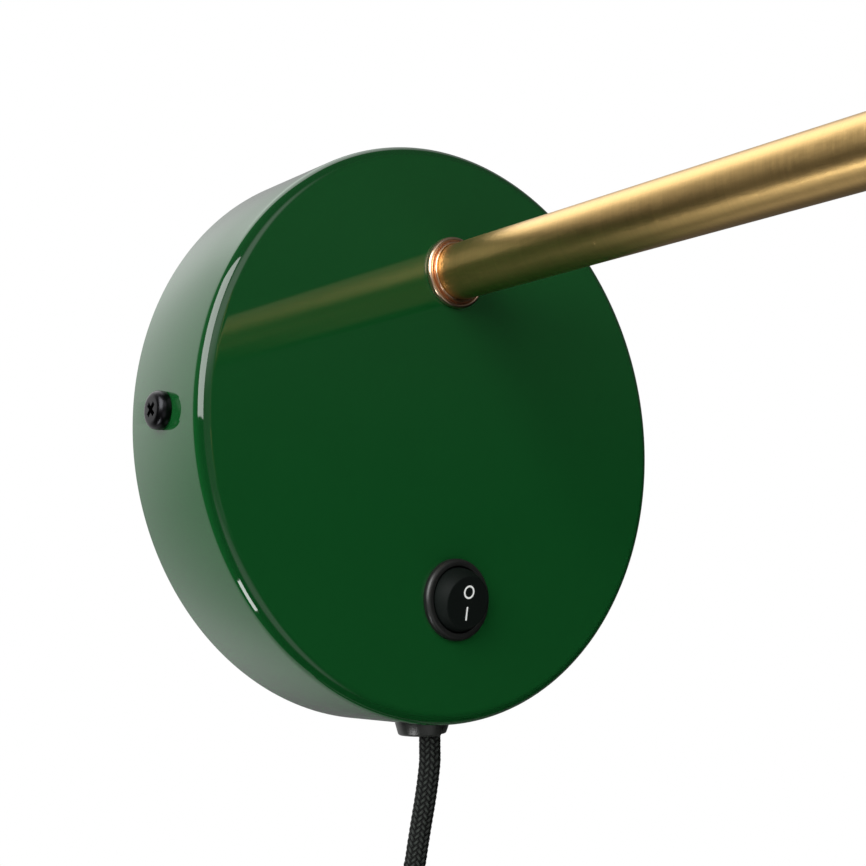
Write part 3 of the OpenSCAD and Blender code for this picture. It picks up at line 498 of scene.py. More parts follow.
@dataclass(frozen=True)
class Corner:
    """A corner of a turned outline: its radius, its height and how far it is rounded."""

    r: float
    z: float
    soft: float = 0.0
    cuts: int = 4


def rotation(degrees: float, axis: str) -> Matrix:
    """Gives a rotation about the x, y or z axis."""
    return Matrix.Rotation(math.radians(degrees), 4, axis)


def shift(x: float, y: float, z: float) -> Matrix:
    """Gives a move along x, y and z."""
    return Matrix.Translation((x, y, z))


def linked(name: str, data: bpy.types.ID) -> bpy.types.Object:
    """Makes an object of some data and puts it into the scene."""
    made = bpy.data.objects.new(name, data)
    bpy.context.scene.collection.objects.link(made)
    return made


def arc(cx: float, cz: float, radius: float, first: float, last: float, steps: int) -> list[Corner]:
    """Gives the corners of an arc.

    Args:
        cx: The centre's distance from the axis.
        cz: The centre's height.
        radius: The arc's radius.
        first: Its first angle in degrees, from the outward direction.
        last: Its last angle in degrees.
        steps: How many steps it has.

    Returns:
        The corners, from first to last.
    """
    angles = [math.radians(first + (last - first) * i / steps) for i in range(steps + 1)]
    return [Corner(cx + radius * math.cos(a), cz + radius * math.sin(a)) for a in angles]


def angle_at(height: float, radius: float) -> float:
    """Gives the angle in degrees at which an arc round the origin reaches a height."""
    return math.degrees(math.asin(height / radius))


@dataclass(frozen=True)
class Station:
    """A place along a swept tube: the frame of its ring, and its distance from the start."""

    place: Matrix
    run: float


class Shape:
    """A mesh under construction."""

    def __init__(self) -> None:
        """Starts an empty mesh."""
        self.bm = bmesh.new()

    @classmethod
    def turned(cls, corners: Sequence[Corner], steps: int = 96) -> "Shape":
        """Spins an outline about the z axis, and rounds its corners.

        Args:
            corners: The outline, closed back to its first corner or along the axis.
            steps: How many steps make the full turn.

        Returns:
            The shape.
        """
        shape = cls()
        bm = shape.bm
        verts = [bm.verts.new((c.r, 0, c.z)) for c in corners]
        pairs = zip(verts, verts[1:] + verts[:1])
        edges = [bm.edges.new(pair) for pair in pairs if pair[0].co.x > TINY or pair[1].co.x > TINY]
        bmesh.ops.spin(bm, geom=verts + edges, cent=(0, 0, 0), axis=(0, 0, 1), angle=TURN, steps=steps,
                       use_merge=True)
        bmesh.ops.remove_doubles(bm, verts=bm.verts, dist=TINY)
        for corner in corners:
            if corner.soft:
                shape.soften(shape.ring_edges(corner), corner.soft, corner.cuts)
        return shape.outward()

    def ring_edges(self, corner: Corner) -> list[bmesh.types.BMEdge]:
        """Finds the edges that lie on a corner's ring."""
        def on_ring(vert: bmesh.types.BMVert) -> bool:
            """Tells if a vertex lies on the ring."""
            return abs(vert.co.xy.length - corner.r) < TINY and abs(vert.co.z - corner.z) < TINY

        return [edge for edge in self.bm.edges if all(on_ring(vert) for vert in edge.verts)]

    def soften(self, edges: Iterable[bmesh.types.BMEdge], width: float, cuts: int) -> "Shape":
        """Rounds edges.

        Args:
            edges: The edges.
            width: How far back the rounding starts.
            cuts: How many steps it has.

        Returns:
            The shape.
        """
        bmesh.ops.bevel(self.bm, geom=list(edges), offset=width, offset_type="OFFSET", segments=cuts,
                        profile=0.5, affect="EDGES", material=-1)
        return self

    @classmethod
    def block(cls, size: Sequence[float], centre: Sequence[float], soft: float = 0.0,
              cuts: int = 2) -> "Shape":
        """Makes a block with round edges.

        Args:
            size: Its lengths along x, y and z.
            centre: Its middle.
            soft: How far its edges are rounded.
            cuts: How many steps each rounding has.

        Returns:
            The shape.
        """
        shape = cls()
        matrix = Matrix.Translation(centre) @ Matrix.Diagonal((*size, 1))
        bmesh.ops.create_cube(shape.bm, size=1, matrix=matrix)
        if soft:
            shape.soften(shape.bm.edges, soft, cuts)
        return shape

    @classmethod
    def rod(cls, radius: float, low: float, high: float, steps: int = 48) -> "Shape":
        """Makes a plain cylinder along z.

        Args:
            radius: Its radius.
            low: Its lower end.
            high: Its upper end.
            steps: How many sides it has.

        Returns:
            The shape.
        """
        shape = cls()
        middle = shift(0, 0, (low + high) / 2)
        bmesh.ops.create_cone(shape.bm, cap_ends=True, segments=steps, radius1=radius, radius2=radius,
                              depth=high - low, matrix=middle)
        return shape

    @classmethod
    def swept(cls, radius: float, sides: int, stations: Sequence[Station],
              relief: Callable[[float, float], float] | None = None) -> "Shape":
        """Rolls a grid into a tube through stations, and keeps each point's place on the straight tube.

        Args:
            radius: The tube's radius.
            sides: How many sides it has.
            stations: The places of its rings.
            relief: Gives how far a point stands out, from its angle and its run.

        Returns:
            The shape, with flat ends.
        """
        shape = cls()
        bm = shape.bm
        layer = bm.verts.layers.float_vector.new(Grain.ROUND_A_TUBE.value)
        rings = len(stations) - 1
        bmesh.ops.create_grid(bm, x_segments=sides, y_segments=rings, size=0.5)
        for vert in bm.verts:
            angle = TURN * (round((vert.co.x + 0.5) * sides) % sides) / sides
            station = stations[round((vert.co.y + 0.5) * rings)]
            across = Vector((math.cos(angle), math.sin(angle), 0))
            vert[layer] = (*(radius * across).xy, station.run)
            out = radius + (relief(angle, station.run) if relief else 0)
            vert.co = station.place @ (out * across)
        bmesh.ops.remove_doubles(bm, verts=bm.verts, dist=TINY)
        for run in (stations[0].run, stations[-1].run):
            bmesh.ops.contextual_create(bm, geom=[edge for edge in bm.edges if edge.is_boundary and all(
                abs(vert[layer].z - run) < TINY for vert in edge.verts)])
        return shape.outward()

    def placed(self, matrix: Matrix) -> "Shape":
        """Moves the whole shape."""
        bmesh.ops.transform(self.bm, matrix=matrix, verts=self.bm.verts)
        return self

    def outward(self) -> "Shape":
        """Turns every face outwards."""
        bmesh.ops.recalc_face_normals(self.bm, faces=self.bm.faces)
        return self

    def joined(self, *others: "Shape") -> "Shape":
        """Adds other shapes that don't touch this one, as solids of their own."""
        for other in others:
            mesh = bpy.data.meshes.new("joined")
            other.bm.to_mesh(mesh)
            other.bm.free()
            self.bm.from_mesh(mesh)
            bpy.data.meshes.remove(mesh)
        return self

    def carved(self, cutters: Iterable["Shape"], operation: str = "DIFFERENCE") -> "Shape":
        """Cuts other shapes out of this one, or fuses them to it.

        Args:
            cutters: The other shapes.
            operation: DIFFERENCE or UNION.

        Returns:
            The shape.
        """
        base = self._as_object("base")
        tools = [cutter._as_object("cutter") for cutter in cutters]
        for tool in tools:
            modifier = base.modifiers.new("carve", "BOOLEAN")
            modifier.operation = operation
            modifier.solver = "EXACT"
            modifier.object = tool
        bpy.context.view_layer.update()
        mesh = bpy.data.meshes.new_from_object(base.evaluated_get(bpy.context.evaluated_depsgraph_get()))
        for item in [base, *tools]:
            bpy.data.objects.remove(item)
        self.bm = bmesh.new()
        self.bm.from_mesh(mesh)
        bpy.data.meshes.remove(mesh)
        return self

    def bored(self, inner: "Shape") -> "Shape":
        """Opens this closed tube from end to end, with another tube as its inner wall.

        Args:
            inner: A closed tube with as many sides, inside this one.

        Returns:
            The shape, with a ring of faces at each end.
        """
        bmesh.ops.reverse_faces(inner.bm, faces=inner.bm.faces)
        self.joined(inner)
        caps = [face for face in self.bm.faces if len(face.verts) > 4]
        foot = min(caps, key=lambda cap: -cap.calc_center_median().y).calc_center_median()
        ends = [[cap for cap in caps if ((cap.calc_center_median() - foot).length < TINY) is near]
                for near in (True, False)]
        rims = [[edge for cap in end for edge in cap.edges] for end in ends]
        bmesh.ops.delete(self.bm, geom=caps, context="FACES_ONLY")
        for rim in rims:
            bmesh.ops.bridge_loops(self.bm, edges=rim)
        return self

    def _as_object(self, name: str) -> bpy.types.Object:
        """Turns the shape into an object."""
        mesh = bpy.data.meshes.new(name)
        self.bm.to_mesh(mesh)
        self.bm.free()
        return linked(name, mesh)

    def piece(self, name: str, materials: Sequence[bpy.types.Material], body: str = "lamp",
              slot: str | None = None, replaces: Sequence[str] = (),
              sharp: float = 35.0) -> bpy.types.Object:
        """Finishes the shape as a piece of the lamp.

        Args:
            name: The piece's name.
            materials: Its materials, by the faces' material numbers.
            body: The body that it rides on.
            slot: The material slot of the record. It is not used.
            replaces: The nodes that it stands for.
            sharp: The angle in degrees past which an edge stays sharp.

        Returns:
            The piece.
        """
        for face in self.bm.faces:
            face.smooth = True
        for edge in self.bm.edges:
            edge.smooth = edge.calc_face_angle(0) < math.radians(sharp)
        made = self._as_object(name)
        made.data.name = name
        for material in materials:
            made.data.materials.append(material)
        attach(made, body)
        if replaces:
            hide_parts(*replaces)
        log.info("made %s", name)
        return made


@dataclass
class Palette:
    """Every finish of the lamp, made once."""

    made: dict[str, bpy.types.Material] = field(default_factory=dict)

    GREEN = (0.0042, 0.053, 0.0112)
    FINISHES = (
        # The green enamel darkens the canopy's front rim as painted shade.
        Enamel("green_enamel", GREEN, rim=0.55),
        Enamel("white_enamel", (0.78, 0.77, 0.73), coat_roughness=0.2),
        BrushedMetal("brushed_brass", (0.78, 0.515, 0.2), Grain.ROUND_A_TUBE),
        BrushedMetal("turned_brass", (0.78, 0.515, 0.2), Grain.ROUND_THE_HEAD),
        SmoothMetal("polished_copper", (0.9, 0.62, 0.43), 0.27),
        SmoothMetal("plain_brass", (0.72, 0.52, 0.25), 0.3),
        SmoothMetal("zinc_plate", (0.58, 0.58, 0.57), 0.34),
        SmoothMetal("spring_steel", (0.5, 0.5, 0.5), 0.25),
        SmoothMetal("black_steel", (0.022, 0.022, 0.024), 0.3),
        Moulded("button_plastic", (0.0028, 0.0046, 0.0038), 0.6, depth=2e-6, shine=0.1),
        Moulded("bezel_plastic", (0.007, 0.0075, 0.007), 0.4),
        Moulded("grip_plastic", (0.016, 0.018, 0.016), 0.34, depth=2e-6),
        Moulded("plug_plastic", (0.008, 0.0085, 0.008), 0.5),
        Moulded("holder_plastic", (0.012, 0.012, 0.012), 0.3, depth=1.5e-6),
        Moulded("ivory_plastic", (0.62, 0.58, 0.46), 0.4),
        Moulded("mark_paint", (0.72, 0.74, 0.72), 0.5, depth=1e-6),
        Moulded("brown_wire", (0.07, 0.022, 0.009), 0.35, depth=1e-6),
        Moulded("blue_wire", (0.01, 0.05, 0.3), 0.35, depth=1e-6),
        Moulded("white_sheath", (0.7, 0.7, 0.68), 0.4, depth=1e-6),
        Moulded("filament", (0.75, 0.42, 0.08), 0.5, depth=1e-6),
        Braid("black_braid"),
        Webbing("black_webbing", (0.03, 0.03, 0.03)),
        ClearGlass("clear_glass"),
    )

    def __post_init__(self) -> None:
        """Makes the materials."""
        for finish in self.FINISHES:
            self.made[finish.name] = finish.make()

    def __getitem__(self, name: str) -> bpy.types.Material:
        """Gives a material by its name."""
        return self.made[name]


@dataclass(frozen=True)
class Softbox:
    """A rectangular light that points at the origin.

    Attributes:
        name: Its name.
        place: Its middle.
        size: Its width and its length.
        along: The direction that its length follows as nearly as it can.
        radiance: How bright it looks, where white is 1.
        shines: Whether it shows in gloss.
    """

    name: str
    place: tuple[float, float, float]
    size: tuple[float, float]
    along: tuple[float, float, float]
    radiance: float
    shines: bool = True

    def hang(self) -> None:
        """Hangs the light, which the camera doesn't see."""
        width, length = self.size
        data = bpy.data.lights.new(self.name, "AREA")
        data.shape = "RECTANGLE"
        data.size, data.size_y = width, length
        data.energy = self.radiance * math.pi * width * length
        place = Vector(self.place)
        back = place.normalized()
        side = Vector(self.along).cross(back).normalized()
        turn = Matrix((side, back.cross(side), back)).transposed().to_4x4()
        box = linked(self.name, data)
        box.matrix_world = Matrix.Translation(place) @ turn
        box.visible_glossy = self.shines
        box.visible_camera = False


@dataclass
class Studio:
    """The camera, the light and the floor."""

    azimuth: float = -39.4865
    elevation: float = -7.6121
    target: Vector = field(default_factory=lambda: Vector((20.98, 0, 4.65)) * MM)
    distance: float = 421.6 * MM
    lens: float = 56.65
    sensor: float = 36.0
    clip: float = 0.01
    floor_z: float = -0.36
    floor_size: float = 1.2
    floor_cloud: float = 0.3
    floor_greys: tuple[float, float] = (0.8, 0.77)
    floor_glow: float = 0.5
    room: float = 0.085
    room_rise: tuple[float, float] = (0.05, 0.3)
    backdrop: float = 0.72
    backdrop_turn: tuple[float, float] = (0.8, 1.02)
    backdrop_back: tuple[float, float] = (0.0, 0.12)
    glow: float = 0.4
    glow_rise: tuple[float, float] = (-0.25, 0.17)
    top: float = 1.2
    top_rise: tuple[float, float] = (0.5, 0.75)
    fade: float = 0.85
    fade_side: tuple[float, float] = (0.0, 0.65)
    near: float = 0.25
    near_out: tuple[float, float] = (0.6, 0.8)
    near_side: tuple[float, float] = (0.15, 0.4)
    above: float = 1.1
    below: float = 0.5
    above_rise: tuple[float, float] = (0.15, 0.4)

    SOFTBOXES = (
        Softbox("key", (-1.23, -0.5, 0.7), (1.3, 1.3), (0, 0, 1), 7.5),
        Softbox("low", (-0.262, -0.042, -0.303), (0.07, 0.15), (0, 1, 0), 12.0),
        Softbox("front", (0.9, -1.6, 0.62), (1.0, 1.0), (0, 0, 1), 1.6, shines=False),
    )

    def camera(self) -> None:
        """Places the camera where the photograph was taken."""
        data = bpy.data.cameras.new("photo_camera")
        data.lens = self.lens
        data.sensor_width = self.sensor
        data.clip_start = self.clip
        camera = linked("photo_camera", data)
        a, e = math.radians(self.azimuth), math.radians(self.elevation)
        back = Vector((math.sin(a) * math.cos(e), -math.cos(a) * math.cos(e), math.sin(e)))
        camera.location = self.target + back * self.distance
        camera.rotation_mode = "QUATERNION"
        camera.rotation_quaternion = (-back).to_track_quat("-Z", "Y")
        bpy.context.scene.camera = camera

    def floor(self) -> None:
        """Lays a plain pale floor below the lamp."""
        bm = bmesh.new()
        bmesh.ops.create_grid(bm, x_segments=1, y_segments=1, size=self.floor_size / 2,
                              matrix=shift(0, 0, self.floor_z))
        mesh = bpy.data.meshes.new("floor")
        bm.to_mesh(mesh)
        bm.free()
        paint = Paint("floor_paint")
        paint.set(Roughness=0.9, Specular_IOR_Level=0.1)
        cloud = paint.noise(self.floor_cloud, detail=2)
        paint.set(Base_Color=paint.mix(cloud, *((grey, grey, grey) for grey in self.floor_greys)))
        paint.set(Emission_Color=(1, 1, 1))
        paint.set(Emission_Strength=self.seen(paint) * self.floor_glow)
        mesh.materials.append(paint.material)
        floor = linked("floor", mesh)
        floor.visible_glossy = False

    @staticmethod
    def seen(tree: NodeTree) -> Signal:
        """Gives 1 for what the camera sees, through glass too, and 0 for the rest."""
        path = tree.node("ShaderNodeLightPath").outputs
        return Signal(tree, path["Is Camera Ray"]).highest(Signal(tree, path["Is Transmission Ray"]))

    def world(self) -> None:
        """Stands a pale backdrop behind the lamp and a weaker one in front of it, in a dim room.

        The light depends on its direction alone. The camera sees plain white.
        """
        world = bpy.data.worlds.new("studio")
        bpy.context.scene.world = world
        world.use_nodes = True
        tree = NodeTree(world.node_tree)
        seen = self.seen(tree)
        direction = tree.node("ShaderNodeTexCoord").outputs["Generated"]
        x, y, z = tree.split(direction)
        edge = y.angle_to(-1.0 * x).over(*self.backdrop_turn) * y.over(*self.backdrop_back)
        level = self.backdrop + self.glow * z.over(*self.glow_rise) + self.top * z.over(*self.top_rise)
        behind = edge * (1 - self.fade * x.over(*self.fade_side)) * level
        level = (self.near + self.above * z.over(*self.above_rise)
                 + self.below * (-1.0 * z).over(*self.above_rise))
        front = (-1.0 * y).over(*self.near_out) * (1 - x.over(*self.near_side)) * level
        strength = seen + (1 - seen) * (behind + front + self.room * z.over(*self.room_rise))
        background = tree.node("ShaderNodeBackground", None, {"Color": (1, 1, 1), "Strength": strength})
        output = tree.node("ShaderNodeOutputWorld")
        tree.tree.links.new(background.outputs[0], output.inputs["Surface"])

    def build(self) -> None:
        """Sets up the camera, floor and lights."""
        self.camera()
        self.floor()
        self.world()
        for softbox in self.SOFTBOXES:
            softbox.hang()
        bpy.context.scene.view_settings.view_transform = "Standard"


@dataclass
class Cord:
    """The braided mains cord: a free stretch, a tied coil and a short tail with the plug."""

    radius: float = 3 * MM
    sides: int = 60
    start: Vector = field(default_factory=lambda: Vector((1.2, -22.6, -84.4)) * MM)
    coil_radius: float = 50.4 * MM
    coil_turns: float = 8 + (90 - 23.4) / 360
    coil_start: float = 23.4
    coil_pitch: float = 6.6 * MM
    coil_soft: float = 0.08
    coil_steps: int = 96
    curve_steps: int = 16
    coil_centre: tuple[float, float] = (0.0, -192 * MM)
    coil_back: float = -5 * MM
    fine_run: float = 66 * MM
    fine_step: float = 0.3 * MM
    plain_step: float = 1.8 * MM
    relief: float = 0.35 * MM
    tie_angle: float = -37.0
    tie_w: float = 10 * MM
    tie_t: float = 1.2 * MM
    tie_gap: float = 0.3 * MM
    tie_corner: float = 3 * MM
    tie_soft: float = 0.3 * MM
    tie_sharp: float = 1.0
    end_rings: int = 24
    groove: float = 0.75
    fade: float = 6 * MM

    POINTS = (
        (1.2, -22.6, -88), (1.2, -22.6, -91.5), (1.2, -21.9, -96), (1.2, -20.6, -102), (1.2, -18.9, -108.5),
        (1.2, -17.4, -114.5), (1.1, -15.8, -121), (-0.4, -13.8, -128.5), (-4.6, -12.3, -136),
        (-9.6, -11.7, -141),
    )
    TAIL = ((-50.7, -5.1, -206), (-50.7, -5.9, -214), (-50.7, -7.0, -222), (-50.7, -7.6, -229),
            (-50.7, -7.8, -236))

    def coil_r(self, t: float) -> float:
        """Gives the coil's radius at a number of turns from its start: it winds in, and then out again."""
        middle = self.coil_turns / 2
        full = math.hypot(middle, self.coil_soft)
        return self.coil_radius - self.coil_pitch * (full - math.hypot(t - middle, self.coil_soft))

    def coil_point(self, t: float) -> Vector:
        """Gives a point of the coil's middle line.

        Args:
            t: Turns from the coil's start.

        Returns:
            The point.
        """
        r = self.coil_r(t)
        halfway = t - self.coil_turns / 2
        climb = (1 - math.cos(math.pi * min(1, max(0, 2 * halfway + 0.5)))) / 2
        a = math.radians(self.coil_start + 360 * t)
        x, z = self.coil_centre
        y = self.coil_back - self.coil_pitch * (1 - climb)
        return Vector((x - r * math.sin(a), y, z + r * math.cos(a)))

    @staticmethod
    def curve(points: Sequence[Vector], steps: int) -> list[Vector]:
        """Draws one smooth curve through points.

        Args:
            points: The points.
            steps: How many steps there are between two points.

        Returns:
            The curve's points.
        """
        ends = [2 * points[0] - points[1], *points, 2 * points[-1] - points[-2]]
        path = []
        for a, b, c, d in zip(ends, ends[1:], ends[2:], ends[3:]):
            for k in range(steps):
                t = k / steps
                bend = (2 * a - 5 * b + 4 * c - d) * t * t + (3 * b - a - 3 * c + d) * t ** 3
                path.append((2 * b + (c - a) * t + bend) / 2)
        return [*path, points[-1]]

    def route(self) -> list[Vector]:
        """Gives the cord's middle line from the grip to the plug."""
        nudge = 0.001
        turns = self.coil_turns
        first = (self.coil_point(nudge) - self.coil_point(0)).normalized()
        last = (self.coil_point(turns) - self.coil_point(turns - nudge)).normalized()
        coil_in = self.coil_point(0) - 2 * self.radius * first
        coil_out = self.coil_point(turns) + 2 * self.radius * last
        free = [self.start, *(Vector(p) * MM for p in self.POINTS), coil_in]
        tail = [coil_out, *(Vector(p) * MM for p in self.TAIL)]
        steps = round(turns * self.coil_steps)
        coil = [self.coil_point(turns * i / steps) for i in range(steps + 1)]
        return [*self.curve(free, self.curve_steps), *coil, *self.curve(tail, self.curve_steps)]

    def stations(self, path: Sequence[Vector]) -> list[Station]:
        """Spaces the rings along the path, close where the camera sees them.

        Args:
            path: The middle line.

        Returns:
            The rings' places.
        """
        runs = [0.0]
        for a, b in zip(path, path[1:]):
            runs.append(runs[-1] + (b - a).length)
        stops, run = [], 0.0
        while run < runs[-1] - self.fine_step:
            stops.append(run)
            run += self.fine_step if run < self.fine_run else self.plain_step
        stops.append(runs[-1])
        points, i = [], 0
        for stop in stops:
            while i < len(runs) - 2 and runs[i + 1] < stop:
                i += 1
            share = (stop - runs[i]) / (runs[i + 1] - runs[i])
            points.append(path[i].lerp(path[i + 1], share))
        return follow(points, stops)

    def tie(self, palette: Palette) -> bpy.types.Object:
        """Makes the woven strap round the coil."""
        inner_r = self.coil_r(self.coil_turns / 2)
        low = math.sqrt((inner_r - self.radius) ** 2 - (self.tie_w / 2) ** 2) - self.tie_gap
        high = self.coil_radius + self.radius + self.tie_gap
        depth = self.coil_pitch + 2 * (self.radius + self.tie_gap)
        wide = 2 * self.tie_t
        strap = self.loop(self.tie_w, depth + wide, high - low + wide, self.tie_corner + self.tie_t).carved(
            [self.loop(2 * self.tie_w, depth, high - low, self.tie_corner)])
        sharp = [edge for edge in strap.bm.edges if edge.calc_face_angle(0) > self.tie_sharp]
        strap.soften(sharp, self.tie_soft, 2)
        x, z = self.coil_centre
        middle = shift(x, self.coil_back - self.coil_pitch / 2, z)
        place = middle @ rotation(self.tie_angle, "Y") @ shift(0, 0, (low + high) / 2)
        return strap.placed(place).piece("tie", [palette["black_webbing"]], slot="tie_strap",
                                         replaces=("cord_tie",))

    @staticmethod
    def loop(width: float, depth: float, height: float, corner: float) -> Shape:
        """Makes a block round the origin, of which only the edges along x are round."""
        block = Shape.block((width, depth, height), (0, 0, 0))
        sides = [edge for edge in block.bm.edges if abs(edge.verts[0].co.x - edge.verts[1].co.x) > TINY]
        return block.soften(sides, corner, 7)

    def inner_end(self, palette: Palette) -> None:
        """Makes the cord's end in the canopy, up to where its sheath is cut back."""
        low, high = (Vector(corner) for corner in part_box("cord_inner_end"))
        runs = [(high.z - low.z) * i / self.end_rings for i in range(self.end_rings + 1)]
        points = [Vector(((low.x + high.x) / 2, (low.y + high.y) / 2, low.z + run)) for run in runs]
        Shape.swept(self.radius, self.sides, follow(points, runs)).piece(
            "cord_end", [palette["black_braid"]], slot="textile_cord", replaces=("cord_inner_end",),
            sharp=80)

    def build(self, palette: Palette) -> None:
        """Args:
            palette: The finishes.
        """
        path = self.route()
        weave = next(finish for finish in Palette.FINISHES if isinstance(finish, Braid))

        def relief(angle: float, run: float) -> float:
            """Gives how far the braid stands out, fading where the rings are far apart."""
            near = min(1.0, max(0.0, (self.fine_run - run) / self.fade))
            return near * self.relief * (weave.relief(angle, run) - self.groove)

        cord = Shape.swept(self.radius, self.sides, self.stations(path), relief).piece(
            "mains_cord", [palette["black_braid"]], slot="textile_cord",
            replaces=("cord", "cord_coil", "cord_tail"), sharp=80)
        with_pieces = [*(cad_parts[name] for name in ("plug_body", "plug_pins")), self.tie(palette)]
        self.inner_end(palette)


def follow(points: Sequence[Vector], runs: Sequence[float], side: Vector | None = None) -> list[Station]:
    """Sets a frame at each point of a path, turned as little as may be from one to the next.

    Args:
        points: The path.
        runs: The distance of each point from the start.
        side: The x direction of the first frame, or None for any.

    Returns:
        The stations.
    """
    ahead = [(b - a).normalized() for a, b in zip(points, points[1:])]
    tangents = [ahead[0], *((a + b).normalized() for a, b in zip(ahead, ahead[1:])), ahead[-1]]
    turn = Vector((0, 0, 1)).rotation_difference(tangents[0])
    if side is not None:
        lean = turn.inverted() @ side
        turn = turn @ Quaternion((0, 0, 1), math.atan2(lean.y, lean.x))
    stations = []
    for i, (point, tangent, run) in enumerate(zip(points, tangents, runs)):
        if i:
            turn = tangents[i - 1].rotation_difference(tangent) @ turn
        stations.append(Station(Matrix.Translation(point) @ turn.to_matrix().to_4x4(), run))
    return stations


def on_front(z: float, depth: float = 35 * MM) -> Matrix:
    """Gives the frame of a piece on the canopy's front: its z points away from the wall.

    Args:
        z: The piece's height above the canopy's centre.
        depth: The canopy's depth.

    Returns:
        The frame.
    """
    return shift(0, -depth, z) @ rotation(90, "X")


@dataclass
class Grip:
    """The snap-in cord grip below the canopy: a body and a wedge, parted along the cord."""

    canopy_r: float = 81.05 * MM
    base: float = -81 * MM
    out: float = 20.7 * MM
    flange_r: float = 7.6 * MM
    flange_low: float = -0.1 * MM
    flange_top: float = 0.9 * MM
    tip_r: float = 6.65 * MM
    tip: float = -3.4 * MM
    tip_soft: float = 0.6 * MM
    wedge_lift: float = 0.5 * MM
    neck_r: float = 6.2 * MM
    neck_top: float = 8 * MM
    neck_soft: float = 0.5 * MM
    neck_low: float = -1.7 * MM
    barb: float = 0.5 * MM
    barb_low: float = 1.5 * MM
    barb_top: float = 5.5 * MM
    cord_x: float = 1.2 * MM
    cord_out: float = 22.6 * MM
    cord_hole: float = 3.05 * MM
    kerf: float = 0.3 * MM
    split: float = 4.0
    steps: int = 128

    def half(self, side: int) -> Shape:
        """Makes one half of the grip.

        Args:
            side: -1 for the body, 1 for the wedge.

        Returns:
            The half.
        """
        tip = self.tip + max(0, side) * self.wedge_lift
        flange = Shape.turned([
            Corner(0, tip), Corner(self.tip_r, tip, self.tip_soft, 4),
            Corner(self.flange_r, self.flange_low), Corner(self.flange_r, self.flange_top),
            Corner(0, self.flange_top)], self.steps)
        r = self.neck_r
        neck = Shape.turned([
            Corner(0, self.neck_low), Corner(r, self.neck_low), Corner(r, self.barb_low),
            Corner(r + self.barb, self.barb_low), Corner(r, self.barb_top),
            Corner(r, self.neck_top, self.neck_soft, 3), Corner(0, self.neck_top)], self.steps)
        place = shift(0, -self.out, self.base)
        dish = Shape.rod(self.canopy_r, 0, 2 * self.out, 4 * self.steps).placed(rotation(90, "X"))
        reach = 4 * self.flange_r
        cord = Shape.rod(self.cord_hole, -reach, reach, self.steps // 2)
        rest = Shape.block((reach, reach, reach), (-side * (reach - self.kerf) / 2, 0, 0))
        at_cord = shift(self.cord_x, -self.cord_out, self.base) @ rotation(self.split, "Z")
        grip = flange.placed(place).carved([dish]).carved([neck.placed(place)], "UNION")
        return grip.carved([cord.placed(at_cord), rest.placed(at_cord)])

    def build(self, palette: Palette) -> None:
        """Makes both halves."""
        for side, name, node in ((-1, "grip_shell", "grip_body"), (1, "grip_key", "grip_wedge")):
            self.half(side).piece(name, [palette["grip_plastic"]], slot="black_matte", replaces=(node,))


